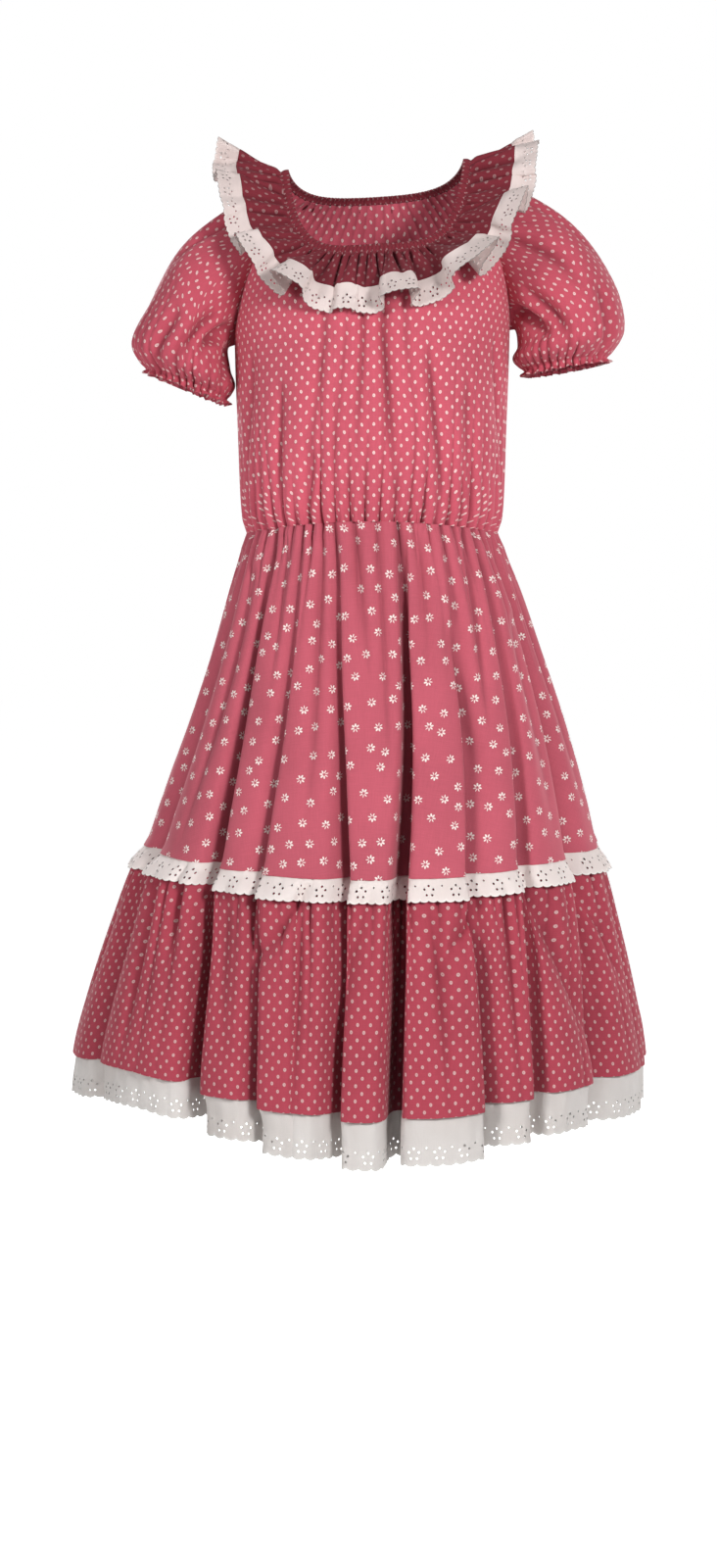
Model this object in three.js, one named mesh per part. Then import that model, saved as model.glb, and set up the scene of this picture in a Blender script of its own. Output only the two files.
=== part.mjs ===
// A square dance dress as it is worn: an elastic scoop neck with a lace edged ruffle, a gathered
// bodice with puffed raglan sleeves, and a full skirt with a gathered tier and eyelet lace.
// Millimetres, +Z up, the front faces -Y, and the wearer's left is +X.
// The origin lies midway between the wearer's shoulders, at the height of their tops.
// Each piece is a thin wall through rows of points, which named sizes and short tables give.
import * as THREE from "three";

// Wall thicknesses, and the gap left at each seam.
const CLOTH = 1.2;
const LACE = 1.0;
const ELASTIC = 3.4;
const SEAM_GAP = 0.3;
const HALF_GAP = SEAM_GAP / 2;
const ALL_EDGES = { top: HALF_GAP, foot: HALF_GAP, ends: HALF_GAP };
const ARMHOLE_GAP = 0.6;

// Distances down from the shoulders at the sides, and how much lower the cloth hangs in front.
const ARMPIT_DOWN = 173;
const WAIST_DOWN = 382;
const SEAM_DOWN = 727;
const HEM_DOWN = 966;
const SEAM_DIP = 20;
const HEM_DIP = 14;

// Lace widths, and where the tier lace starts above the seam and how far it stands off below.
const HEM_LACE_WIDTH = 49;
const NECK_LACE_WIDTH = 24;
const TIER_LACE = { above: 5, below: 24, topGap: 2.3, footGap: 6 };

// The elastic neckline: sideways shift, half width, depths before and behind, rise at the
// shoulders, and scoop.
const NECK = { shift: 4, half: 95, front: 72, back: 66, rise: 12, scoop: 93, backScoop: 26 };
// How the cloth falls away from the neckline, for each unit out: forwards, and down at the
// shoulders and in front.
const NECK_SLOPE = { forward: 0.42, side: 0.25, front: 0.67 };
const CASING_WIDTH = 8;
const UNDER_CASING = 0.95;
const RAGLAN = { front: 65, back: 50 };
const RAGLAN_SHARE = 0.36;
const SEAM_STEPS = 8;
const SHOULDER_BOW = 26;
const YOKE_REACH = 118;

// Each millimetre across the shoulders lifts the wearer's left side by this much, above the
// height from where the tilt fades out.
const SHOULDER_TILT = 0.06;
const TILT_TOP_DOWN = 113;

// Gathers: their number, depth, and how far they fade into the cloth.
const NECK_GATHERS = { front: 16, back: 12, sleeve: 8, depth: 1.5 };
const WAIST_GATHERS = { perFold: 3, depth: 2.4, fade: 55 };
const TIER_GATHERS = { perFold: 3, depth: 3.2, fade: 50 };
const CUFF_GATHERS = { count: 16, depth: 2.4 };

const COLOURS = { dots: 0xb5485c, sprigs: 0xc05e6e, lace: 0xf0e8e2, elastic: 0xa33f52 };

// The dress in rings: distance down, half width, depths before and behind, and sideways shift.
const RINGS = [
  { down: 173, half: 150, front: 120, back: 104, shift: 0 },
  { down: 215, half: 149, front: 124, back: 107, shift: 0 },
  { down: 270, half: 147, front: 121, back: 107, shift: 0 },
  { down: 330, half: 145, front: 115, back: 103, shift: 0 },
  { down: 366, half: 143, front: 108, back: 98, shift: 0 },
  { down: 382, half: 140, front: 102, back: 93, shift: 0 },
  { down: 400, half: 146, front: 109, back: 101, shift: 1 },
  { down: 443, half: 162, front: 126, back: 120, shift: 3 },
  { down: 508, half: 183, front: 149, back: 145, shift: 5 },
  { down: 594, half: 211, front: 178, back: 176, shift: 6 },
  { down: 680, half: 238, front: 205, back: 204, shift: 3 },
  { down: 727, half: 252, front: 219, back: 218, shift: 0 },
  { down: 748, half: 263, front: 229, back: 228, shift: -3 },
  { down: 810, half: 281, front: 246, back: 245, shift: -5 },
  { down: 896, half: 303, front: 266, back: 265, shift: -9 },
  { down: 966, half: 317, front: 279, back: 278, shift: -12 },
  { down: 1060, half: 322, front: 284, back: 283, shift: -13 },
];

// Valleys between the skirt's big folds, from the wearer's right side seam round the front: their
// angles from the centre front at waist, seam and hem, depths, half width at the hem, how far the
// floor turns sideways, and how much lower the fold after it hangs.
const FOLDS = [
  { waist: -90, seam: -93, hem: -93, seamDeep: 16, hemDeep: 30, wide: 34, tuck: 0, hang: -14 },
  { waist: -69, seam: -70, hem: -64, seamDeep: 12, hemDeep: 30, wide: 32, tuck: -8, hang: -26 },
  { waist: -49, seam: -42, hem: -33, seamDeep: 46, hemDeep: 72, wide: 30, tuck: -18, hang: -4 },
  { waist: -33, seam: -29, hem: -20, seamDeep: 22, hemDeep: 34, wide: 20, tuck: 8, hang: 0 },
  { waist: -18, seam: -7, hem: -5, seamDeep: 34, hemDeep: 44, wide: 22, tuck: 14, hang: 10 },
  { waist: 12, seam: 8, hem: 7, seamDeep: 48, hemDeep: 74, wide: 26, tuck: 10, hang: 6 },
  { waist: 33, seam: 25, hem: 26, seamDeep: 12, hemDeep: 42, wide: 28, tuck: -14, hang: -6 },
  { waist: 52, seam: 42, hem: 38, seamDeep: 10, hemDeep: 34, wide: 22, tuck: -8, hang: -10 },
  { waist: 71, seam: 58, hem: 56, seamDeep: 34, hemDeep: 46, wide: 28, tuck: -10, hang: -6 },
  { waist: 90, seam: 87, hem: 84, seamDeep: 18, hemDeep: 38, wide: 34, tuck: 0, hang: -2 },
  { waist: 115, seam: 110, hem: 108, seamDeep: 36, hemDeep: 56, wide: 30, tuck: 10, hang: 5 },
  { waist: 141, seam: 136, hem: 134, seamDeep: 22, hemDeep: 40, wide: 34, tuck: -8, hang: -3 },
  { waist: 167, seam: 160, hem: 157, seamDeep: 46, hemDeep: 70, wide: 30, tuck: 12, hang: 6 },
  { waist: 193, seam: 190, hem: 187, seamDeep: 26, hemDeep: 46, wide: 36, tuck: -8, hang: 0 },
  { waist: 219, seam: 216, hem: 214, seamDeep: 42, hemDeep: 62, wide: 30, tuck: 12, hang: 5 },
  { waist: 245, seam: 241, hem: 241, seamDeep: 24, hemDeep: 42, wide: 34, tuck: 0, hang: -3 },
];
const FRONT_FOLDS = 9;
const TIER_STRIPS = [
  { side: "front_left", from: 3.5, to: 7.5 },
  { side: "back_left", from: 7.5, to: 11.5 },
  { side: "back_right", from: 11.5, to: 15.5 },
  { side: "front_right", from: 15.5, to: 19.5 },
];

// Soft creases of the bodice front: places across at the top and foot, their span down from the
// shoulders, depth into the cloth and half width.
const CREASES = [
  { top: -44, foot: -84, from: 120, to: 400, deep: 4, wide: 9 },
  { top: -6, foot: -22, from: 95, to: 340, deep: 6, wide: 8 },
  { top: 4, foot: 30, from: 95, to: 400, deep: 8, wide: 9 },
  { top: 60, foot: 86, from: 190, to: 400, deep: 6, wide: 9 },
  { top: 104, foot: 114, from: 230, to: 400, deep: 4, wide: 8 },
  { top: -98, foot: -112, from: 220, to: 400, deep: 4, wide: 8 },
];

// Ruffle valleys: angle from the centre front, height of the ridge that follows, and how far that
// ridge rolls over its valleys, in degrees.
const RUFFLE_WAVES = [
  { at: -84, high: 15, roll: 2 },
  { at: -61, high: 18, roll: 3 },
  { at: -41, high: 24, roll: 3 },
  { at: -21, high: 20, roll: 3 },
  { at: -1, high: 16, roll: 3 },
  { at: 17, high: 26, roll: 3 },
  { at: 43, high: 20, roll: 3 },
  { at: 66, high: 15, roll: 3 },
  { at: 92, high: 14, roll: 2 },
  { at: 118, high: 16, roll: 3 },
  { at: 143, high: 20, roll: 3 },
  { at: 168, high: 15, roll: 3 },
  { at: 194, high: 21, roll: 3 },
  { at: 220, high: 15, roll: 3 },
  { at: 247, high: 17, roll: 3 },
];
const RUFFLE_WIDTH = 50;

// How steeply the ruffle stands round the neck: angle from the centre front, rise above level.
const RUFFLE_RISE = [
  { at: 0, rise: -52 },
  { at: 30, rise: -44 },
  { at: 60, rise: -11 },
  { at: 90, rise: 12 },
  { at: 120, rise: -6 },
  { at: 150, rise: -34 },
  { at: 180, rise: -44 },
];

// Sleeve sections from the armhole to the cuff: share of the way, centre across and down, half
// width, half depth, and the tilt of the section, whose outer end is the higher one.
const SLEEVES = [
  {
    name: "sleeve_right",
    side: -1,
    sections: [
      { along: 0.3, across: 177, down: 125, half: 64, deep: 66, tilt: 73 },
      { along: 0.6, across: 197, down: 167, half: 57, deep: 76, tilt: 44 },
      { along: 0.82, across: 207, down: 202, half: 57, deep: 73, tilt: 25 },
      { along: 0.94, across: 204, down: 221, half: 50, deep: 57, tilt: 20 },
      { along: 1, across: 203, down: 229, half: 51, deep: 58, tilt: 20 },
    ],
  },
  {
    name: "sleeve_left",
    side: 1,
    sections: [
      { along: 0.3, across: 184, down: 106, half: 66, deep: 66, tilt: 66 },
      { along: 0.6, across: 212, down: 150, half: 62, deep: 78, tilt: 32 },
      { along: 0.82, across: 215, down: 182, half: 58, deep: 74, tilt: 15 },
      { along: 0.94, across: 212, down: 200, half: 49, deep: 57, tilt: 9 },
      { along: 1, across: 212, down: 208, half: 50, deep: 58, tilt: 9 },
    ],
  },
];

const TURN = 360;
const STEP = 1e-3;
const { degToRad: rad, lerp: mix, clamp, smoothstep } = THREE.MathUtils;
const vector = (x, y, z) => new THREE.Vector3(x, y, z);
const wave = (turns) => 0.5 - 0.5 * Math.cos(2 * Math.PI * turns);

// Value of one column of a table at x along another column, on a smooth curve through its rows.
function read(table, axis, column, x) {
  let i = 0;
  while (i < table.length - 2 && x > table[i + 1][axis]) i++;
  const slope = (k) => {
    const before = table[Math.max(0, k - 1)];
    const after = table[Math.min(table.length - 1, k + 1)];
    return (after[column] - before[column]) / (after[axis] - before[axis]);
  };
  const span = table[i + 1][axis] - table[i][axis];
  const t = clamp((x - table[i][axis]) / span, 0, 1);
  return hermite(table[i][column], slope(i) * span, table[i + 1][column], slope(i + 1) * span, t);
}

function hermite(from, leave, to, arrive, t) {
  const rest = 1 - t;
  return (
    from * (1 + 2 * t) * rest * rest +
    leave * t * rest * rest +
    to * t * t * (3 - 2 * t) -
    arrive * t * t * rest
  );
}

// Point on the dress's smooth ring at an angle in degrees, moved in from its edge.
function ringPoint(angle, down, inset) {
  const forward = Math.cos(rad(angle));
  const side = smoothstep(forward, -0.25, 0.25);
  const deep = mix(read(RINGS, "down", "back", down), read(RINGS, "down", "front", down), side);
  const half = read(RINGS, "down", "half", down);
  const across = (half - inset) * Math.sin(rad(angle)) + read(RINGS, "down", "shift", down);
  return vector(across, -(deep - inset) * forward, -down);
}

// The upper dress tilts with the wearer's shoulders, and the tilt fades out at the waist.
function tilted(point) {
  const share = smoothstep(-point.z, TILT_TOP_DOWN, WAIST_DOWN);
  point.z += SHOULDER_TILT * point.x * (1 - share);
  return point;
}

// One valley of the skirt by number, counted on past a full turn.
function valley(number) {
  const turns = Math.floor(number / FOLDS.length);
  const row = FOLDS[number - turns * FOLDS.length];
  return { ...row, turn: turns * TURN };
}

// Levels run 0 at the waist, 1 at the tier seam, 2 at the tier's hem and 3 at its lace's edge.
const upper = (level) => clamp(level, 0, 1);
const lower = (level) => clamp((level - 1) / 1.5, 0, 1);

function valleyAngle(number, level) {
  const row = valley(number);
  return mix(mix(row.waist, row.seam, upper(level)), row.hem, lower(level)) + row.turn;
}

// Point of the skirt or tier at a fold number and a level, moved out by a ripple.
function skirtPoint(fold, level, ripple) {
  const first = Math.floor(fold);
  const share = fold - first;
  const angle = mix(valleyAngle(first, level), valleyAngle(first + 1, level), share);
  const down = skirtDown(level);
  const reach = read(RINGS, "down", "half", down);
  let inset = 0;
  let turned = 0;
  for (let number = first - 1; number <= first + 2; number++) {
    const row = valley(number);
    const deep = mix(row.seamDeep * upper(level), row.hemDeep, lower(level));
    const wide = row.wide * mix(0.55, 1, upper(level));
    const away = (rad(angle - valleyAngle(number, level)) * reach) / wide;
    const share = Math.exp(-away * away);
    inset += deep * share;
    turned += (row.tuck * deep * share) / row.hemDeep;
  }
  const point = ringPoint(angle + (turned / reach) * (180 / Math.PI), down, inset - ripple);
  const dip = mix(SEAM_DIP * upper(level), HEM_DIP, lower(level));
  const middle = Math.floor(fold - 0.5);
  const hang = mix(valley(middle).hang, valley(middle + 1).hang, smoothstep(fold - 0.5 - middle, 0, 1));
  point.z -= dip * Math.cos(rad(angle)) ** 2 + hang * lower(level);
  return point;
}

function skirtDown(level) {
  if (level < 1) return mix(WAIST_DOWN, SEAM_DOWN, level);
  if (level < 2) return mix(SEAM_DOWN, HEM_DOWN, level - 1);
  return HEM_DOWN + (level - 2) * HEM_LACE_WIDTH;
}

function skirt(fold, level) {
  const faded = Math.exp(-(skirtDown(level) - WAIST_DOWN) / WAIST_GATHERS.fade);
  return skirtPoint(fold, level, -WAIST_GATHERS.depth * faded * wave(WAIST_GATHERS.perFold * fold));
}

function tier(fold, level) {
  const faded = Math.exp(-Math.abs(skirtDown(level) - SEAM_DOWN) / TIER_GATHERS.fade);
  return skirtPoint(fold, level, TIER_GATHERS.depth * faded * wave(TIER_GATHERS.perFold * fold));
}

// The tier lace lies on the tier's top and stands a little further off at its lower edge.
function tierLace(fold, share) {
  const { above, below, topGap, footGap } = TIER_LACE;
  const down = mix(-above, below, share);
  const level = 1 + down / (down < 0 ? SEAM_DOWN - WAIST_DOWN : HEM_DOWN - SEAM_DOWN);
  const { point, normal } = onSurface(tier, fold, level);
  return point.addScaledVector(normal, mix(topGap, footGap, share));
}

// The neckline at an angle: its edge, the way down the cloth from there, and the way off it.
function neckEdge(angle) {
  const across = Math.sin(rad(angle));
  const forward = Math.cos(rad(angle));
  const scoop = forward > 0 ? NECK.scoop : NECK.backScoop;
  const deep = forward > 0 ? NECK.front : NECK.back;
  const sunk = scoop * Math.sin((rounded(forward) * Math.PI) / 2);
  return vector(NECK.shift + NECK.half * across, -deep * forward, NECK.rise - sunk);
}

// Size of a number from -1 to 1, rounded off near zero.
function rounded(number) {
  const soft = 0.15;
  return (Math.hypot(number, soft) - soft) / (Math.hypot(1, soft) - soft);
}

function neckFrame(angle) {
  const across = Math.sin(rad(angle));
  const forward = Math.cos(rad(angle));
  const fall = NECK_SLOPE.side + NECK_SLOPE.front * rounded(forward);
  const down = vector(across, -NECK_SLOPE.forward * forward, -fall).normalize();
  const along = neckEdge(angle + 1).sub(neckEdge(angle - 1)).normalize();
  const off = down.clone().cross(along).normalize();
  return { edge: neckEdge(angle), down, off };
}

// A point at the neckline, some way down the cloth and off it.
function neckPoint(angle, away, lift) {
  const { edge, down, off } = neckFrame(angle);
  return edge.addScaledVector(down, away).addScaledVector(off, lift);
}

function neckGathers(angle) {
  const turned = (((angle + RAGLAN.front) % TURN) + TURN) % TURN;
  const sleeve = 180 - RAGLAN.front - RAGLAN.back;
  const spans = [
    { wide: 2 * RAGLAN.front, count: NECK_GATHERS.front },
    { wide: sleeve, count: NECK_GATHERS.sleeve },
    { wide: 2 * RAGLAN.back, count: NECK_GATHERS.back },
    { wide: sleeve, count: NECK_GATHERS.sleeve },
  ];
  let start = 0;
  for (const { wide, count } of spans) {
    if (turned <= start + wide) return wave(((turned - start) / wide) * count);
    start += wide;
  }
  return 0;
}

function casing(angle, share) {
  const lift = NECK_GATHERS.depth * (neckGathers(angle) - 0.5);
  return tilted(neckPoint(angle, CASING_WIDTH * share, lift));
}

// Top edge of the bodice or a sleeve, just below the casing.
function underCasing(angle) {
  const lift = -UNDER_CASING - NECK_GATHERS.depth * neckGathers(angle);
  return neckPoint(angle, CASING_WIDTH + SEAM_GAP, lift);
}

// Point of the bodice front or back: across from -1 to 1, and 0 at the neck, 1 at the armpits
// and 2 at the waist.
function bodice(face, across, level) {
  const centre = face === "front" ? 0 : 180;
  const angle = centre + 90 * across;
  if (level >= 1) {
    const down = mix(ARMPIT_DOWN, WAIST_DOWN, level - 1);
    const faded = Math.exp(-(WAIST_DOWN - down) / WAIST_GATHERS.fade);
    const count = WAIST_GATHERS.perFold * FRONT_FOLDS;
    const gather = WAIST_GATHERS.depth * faded * wave(((across + 1) * count) / 2);
    const inset = gather + (face === "front" ? creases(angle, down) : 0);
    return tilted(ringPoint(angle, down, inset));
  }
  const neckAngle = centre + RAGLAN[face] * across;
  const { down: leave } = neckFrame(neckAngle);
  const neck = underCasing(neckAngle);
  const chest = ringPoint(angle, ARMPIT_DOWN, 0);
  const inset = face === "front" ? creases(angle, mix(-neck.z, ARMPIT_DOWN, level)) : 0;
  const bow = 4 * level * (1 - level) * SHOULDER_BOW * across * across;
  const forward = -Math.cos(rad(centre));
  return tilted(
    vector(
      hermite(neck.x, YOKE_REACH * leave.x, chest.x, 0, level),
      hermite(neck.y, YOKE_REACH * leave.y, chest.y, 0, level) + forward * (bow - inset),
      hermite(neck.z, YOKE_REACH * leave.z, chest.z, -YOKE_REACH, level),
    ),
  );
}

// Depth of the bodice's creases at an angle and a distance down.
function creases(angle, down) {
  const across = Math.sin(rad(angle)) * RINGS[0].half;
  let deep = 0;
  for (const row of CREASES) {
    const share = clamp((down - row.from) / (row.to - row.from), 0, 1);
    const away = (across - mix(row.top, row.foot, share)) / row.wide;
    deep += row.deep * Math.exp(-away * away) * Math.sin(Math.PI * Math.sqrt(share));
  }
  return deep;
}

// The sleeve's upper edge, round from the underarm: one raglan seam, the neckline, the other seam.
function armhole(side, round) {
  const turned = round - Math.floor(round);
  const [first, second] = side > 0 ? ["front", "back"] : ["back", "front"];
  if (turned <= RAGLAN_SHARE) return bodice(first, 1, 1 - turned / RAGLAN_SHARE);
  if (turned >= 1 - RAGLAN_SHARE) return bodice(second, -1, 1 - (1 - turned) / RAGLAN_SHARE);
  const start = side > 0 ? RAGLAN.front : 180 + RAGLAN.back;
  const share = (turned - RAGLAN_SHARE) / (1 - 2 * RAGLAN_SHARE);
  return tilted(underCasing(start + share * (180 - RAGLAN.front - RAGLAN.back)));
}

function sleeve({ side, sections }, round, along) {
  const edge = armhole(side, round);
  const turn = 2 * Math.PI * round;
  const gather = CUFF_GATHERS.depth * wave(CUFF_GATHERS.count * round);
  const loops = sections.map((row) => {
    const inset = gather * smoothstep(row.along, 0.82, 0.94);
    const reach = (row.half - inset) * Math.cos(turn);
    return {
      along: row.along,
      x: side * (row.across - reach * Math.cos(rad(row.tilt))),
      y: -side * (row.deep - inset) * Math.sin(turn),
      z: -row.down - reach * Math.sin(rad(row.tilt)),
    };
  });
  const table = [{ along: 0, x: edge.x, y: edge.y, z: edge.z }, ...loops];
  return vector(...["x", "y", "z"].map((axis) => read(table, "along", axis, along)));
}

// The ruffle and its lace, out from the casing: angle in degrees, and share of the cloth's width.
function ruffle(angle, share) {
  const turns = Math.floor((angle - RUFFLE_WAVES[0].at) / TURN);
  const turned = angle - turns * TURN;
  let number = RUFFLE_WAVES.length - 1;
  while (turned < RUFFLE_WAVES[number].at) number--;
  const row = RUFFLE_WAVES[number];
  const next = RUFFLE_WAVES[number + 1] ?? { at: RUFFLE_WAVES[0].at + TURN };
  const t = (turned - row.at) / (next.at - row.at);
  const open = Math.pow(Math.max(0, share), 1.2);
  const rolled = angle - row.roll * Math.min(1, open) * Math.sin(2 * Math.PI * t);
  const { edge, down, off } = neckFrame(rolled);
  const around = Math.abs(((turned + 180) % TURN) - 180);
  const rise = rad(read(RUFFLE_RISE, "at", "rise", around));
  const across = vector(Math.sin(rad(rolled)), -Math.cos(rad(rolled)), 0);
  const out = across.clone().multiplyScalar(Math.cos(rise));
  out.z = Math.sin(rise);
  const up = across.multiplyScalar(-Math.sin(rise));
  up.z = Math.cos(rise);
  edge.addScaledVector(down, CASING_WIDTH + SEAM_GAP).addScaledVector(off, UNDER_CASING);
  edge.addScaledVector(out, share * RUFFLE_WIDTH).addScaledVector(up, row.high * open * wave(t));
  return tilted(edge);
}

// A surface's point and outward normal. Surfaces run counterclockwise and downwards.
function onSurface(surface, u, v) {
  const across = surface(u + STEP, v).sub(surface(u - STEP, v));
  const along = surface(u, v + STEP).sub(surface(u, v - STEP));
  const normal = along.clone().cross(across).normalize();
  return { point: surface(u, v), normal, across: across.normalize(), along: along.normalize() };
}

// Rows of points on a surface. An edge named in seams is drawn in by its distance there, and turn
// gives the wall's direction at a seam that two surfaces share.
function pointRows(surface, rows, seams, turn) {
  return rows.map(({ v, places }, row) =>
    places.map((u, column) => {
      const { point, normal, across, along } = onSurface(surface, u, v);
      const inwards = (edge, here, way) => {
        if (here && seams[edge]) point.addScaledVector(way, seams[edge]);
      };
      inwards("top", row === 0, along);
      inwards("foot", row === rows.length - 1, along.clone().negate());
      inwards("ends", column === 0, across);
      inwards("ends", column === places.length - 1, across.clone().negate());
      return { place: u, point, normal: turn?.(u, v, normal) ?? normal };
    }),
  );
}

// A closed wall of even thickness through rows of points. Rows may differ in their number of
// points, and a ring's rows end where they start.
function wall(rows, thickness, ring) {
  const positions = [];
  const index = [];
  const layer = (side) =>
    rows.map((row) => {
      const start = positions.length / 3;
      return row.map(({ point, normal, place }, column) => {
        if (ring && column === row.length - 1) return { place, id: start };
        const moved = point.clone().addScaledVector(normal, (side * thickness) / 2);
        positions.push(moved.x, moved.y, moved.z);
        return { place, id: start + column };
      });
    });
  const strip = (upperRow, lowerRow, flip) => {
    let i = 0;
    let j = 0;
    while (i < upperRow.length - 1 || j < lowerRow.length - 1) {
      const nextUpper = upperRow[i + 1]?.place ?? Infinity;
      const nextLower = lowerRow[j + 1]?.place ?? Infinity;
      const onUpper = nextUpper < nextLower;
      const [a, b] = [upperRow[i].id, lowerRow[j].id];
      const c = onUpper ? upperRow[++i].id : lowerRow[++j].id;
      index.push(...(flip ? [a, c, b] : [a, b, c]));
    }
  };
  const outer = layer(1);
  const inner = layer(-1);
  for (let row = 0; row < rows.length - 1; row++) {
    strip(outer[row], outer[row + 1], false);
    strip(inner[row], inner[row + 1], true);
  }
  strip(inner[0], outer[0], false);
  strip(outer.at(-1), inner.at(-1), false);
  if (!ring) {
    const edge = (layerRows, end) => layerRows.map((row, place) => ({ place, id: row.at(end).id }));
    strip(edge(outer, 0), edge(inner, 0), false);
    strip(edge(inner, -1), edge(outer, -1), false);
  }
  const geometry = new THREE.BufferGeometry();
  geometry.setAttribute("position", new THREE.Float32BufferAttribute(positions, 3));
  geometry.setIndex(index);
  geometry.computeVertexNormals();
  return geometry;
}

const dress = new THREE.Group();

function addPiece(name, geometry, colour) {
  const material = new THREE.MeshStandardMaterial({ color: colour, roughness: 0.85, metalness: 0 });
  const piece = new THREE.Mesh(geometry, material);
  piece.name = name;
  dress.add(piece);
}

// Places from one number to another, drawn closer to the whole numbers where cluster says so.
function places(from, to, count, cluster = 0) {
  return Array.from({ length: count + 1 }, (_, i) => {
    const place = mix(from, to, i / count);
    return place - (cluster * Math.sin(2 * Math.PI * place)) / (2 * Math.PI);
  });
}

const level = (u, v, normal) => vector(normal.x, normal.y, 0).normalize();

// Direction of the wall at a raglan seam, between the bodice's and the sleeve's.
function raglanNormal(face, across, share) {
  const left = (face === "front") === across > 0;
  const shape = SLEEVES.find(({ side }) => side > 0 === left);
  const first = left === (face === "front");
  const round = first ? RAGLAN_SHARE * (1 - share) : 1 - RAGLAN_SHARE * (1 - share);
  const body = onSurface((u, v) => bodice(face, u, v), across, share).normal;
  const arm = onSurface((u, v) => sleeve(shape, u, v), round, 0).normal;
  return body.add(arm).normalize();
}

function makeBodice(face) {
  const tops = NECK_GATHERS[face];
  const yoke = places(0, 1, SEAM_STEPS).map((v, i) => ({
    v,
    places: places(-1, 1, i < 2 ? 2 * tops : 24),
  }));
  const count = WAIST_GATHERS.perFold * FRONT_FOLDS;
  const body = [1.25, 1.5, 1.72, 1.88, 2].map((v) => ({
    v,
    places: places(-1, 1, v < 1.7 ? 24 : 2 * count),
  }));
  const turn = (u, v, normal) => {
    if (v === 0) return neckFrame(face === "front" ? RAGLAN.front * u : 180 + RAGLAN.back * u).off;
    if (v === 2) return level(u, v, normal);
    if (v <= 1 && Math.abs(u) === 1) return raglanNormal(face, u, v);
    return normal;
  };
  const rows = pointRows((u, v) => bodice(face, u, v), [...yoke, ...body], { foot: HALF_GAP, ends: HALF_GAP }, turn);
  addPiece(`bodice_${face}`, wall(rows, CLOTH, false), COLOURS.dots);
}

function makeSleeve(shape) {
  const seam = places(0, RAGLAN_SHARE, SEAM_STEPS);
  const neck = places(RAGLAN_SHARE, 1 - RAGLAN_SHARE, 2 * NECK_GATHERS.sleeve);
  const round = [...seam, ...neck.slice(1, -1), ...seam.map((place) => 1 - place).reverse()];
  const cuff = places(0, 1, 2 * CUFF_GATHERS.count);
  const rows = [0, 0.1, 0.25, 0.42, 0.58, 0.72, 0.84, 0.94, 1].map((v) => ({
    v,
    places: v < 0.8 ? round : cuff,
  }));
  const start = shape.side > 0 ? RAGLAN.front : 180 + RAGLAN.back;
  const turn = (u, v, normal) => {
    if (v > 0) return normal;
    const share = (u - RAGLAN_SHARE) / (1 - 2 * RAGLAN_SHARE);
    if (share > 0 && share < 1) {
      return neckFrame(start + share * (180 - RAGLAN.front - RAGLAN.back)).off;
    }
    const [first, second] = shape.side > 0 ? ["front", "back"] : ["back", "front"];
    if (share <= 0) return raglanNormal(first, 1, 1 - u / RAGLAN_SHARE);
    return raglanNormal(second, -1, 1 - (1 - u) / RAGLAN_SHARE);
  };
  const points = pointRows((u, v) => sleeve(shape, u, v), rows, { top: ARMHOLE_GAP }, turn);
  addPiece(shape.name, wall(points, CLOTH, true), COLOURS.dots);
}

function makeNeck() {
  const gathers = [
    [-RAGLAN.front, RAGLAN.front, NECK_GATHERS.front],
    [RAGLAN.front, 180 - RAGLAN.back, NECK_GATHERS.sleeve],
    [180 - RAGLAN.back, 180 + RAGLAN.back, NECK_GATHERS.back],
    [180 + RAGLAN.back, TURN - RAGLAN.front, NECK_GATHERS.sleeve],
  ];
  const round = gathers.flatMap(([from, to, count], i) =>
    places(from, to, 2 * count).slice(i ? 1 : 0),
  );
  const bands = [0, 1].map((v) => ({ v, places: round }));
  const strip = pointRows(casing, bands, {}, (u) => neckFrame(u).off);
  addPiece("neck_casing", wall(strip, ELASTIC, true), COLOURS.elastic);
  const ring = RUFFLE_WAVES.flatMap(({ at }, i) => {
    const next = RUFFLE_WAVES[i + 1]?.at ?? RUFFLE_WAVES[0].at + TURN;
    return places(at, next, 6).slice(0, -1);
  });
  ring.push(RUFFLE_WAVES[0].at + TURN);
  const lengths = [0, 0.33, 0.68, 1].map((v) => ({ v, places: ring }));
  const turn = (u, v, normal) => (v === 0 ? neckFrame(u).off : normal);
  const cloth = pointRows(ruffle, lengths, { foot: HALF_GAP }, turn);
  addPiece("neck_ruffle", wall(cloth, CLOTH, true), COLOURS.dots);
  const edging = [1, 1 + NECK_LACE_WIDTH / RUFFLE_WIDTH].map((v) => ({ v, places: ring }));
  const lace = pointRows(ruffle, edging, { top: HALF_GAP });
  addPiece("neck_lace", wall(lace, LACE, true), COLOURS.lace);
}

function makeSkirt(face, from, to) {
  const folds = to - from;
  const rows = [0, 0.07, 0.17, 0.33, 0.55, 0.78, 1].map((v) => ({
    v,
    places: v < 0.1 ? places(from, to, folds * 6) : places(from, to, folds * 8, 0.5),
  }));
  const turn = (u, v, normal) => (v === 0 || v === 1 ? level(u, v, normal) : normal);
  const points = pointRows(skirt, rows, ALL_EDGES, turn);
  addPiece(`skirt_${face}`, wall(points, CLOTH, false), COLOURS.sprigs);
}

function makeTier({ side, from, to }) {
  const folds = to - from;
  const rows = [1, 1.08, 1.25, 1.6, 2].map((v) => ({
    v,
    places: v < 1.1 ? places(from, to, folds * 9) : places(from, to, folds * 8, 0.5),
  }));
  const turn = (u, v, normal) => (v === 1 || v === 2 ? level(u, v, normal) : normal);
  const cloth = pointRows(tier, rows, ALL_EDGES, turn);
  addPiece(`tier_${side}`, wall(cloth, CLOTH, false), COLOURS.dots);
  const edging = [2, 3].map((v) => ({ v, places: places(from, to, folds * 8, 0.5) }));
  const lace = pointRows(tier, edging, { top: HALF_GAP, ends: HALF_GAP }, level);
  addPiece(`hem_lace_${side}`, wall(lace, LACE, false), COLOURS.lace);
}

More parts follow.
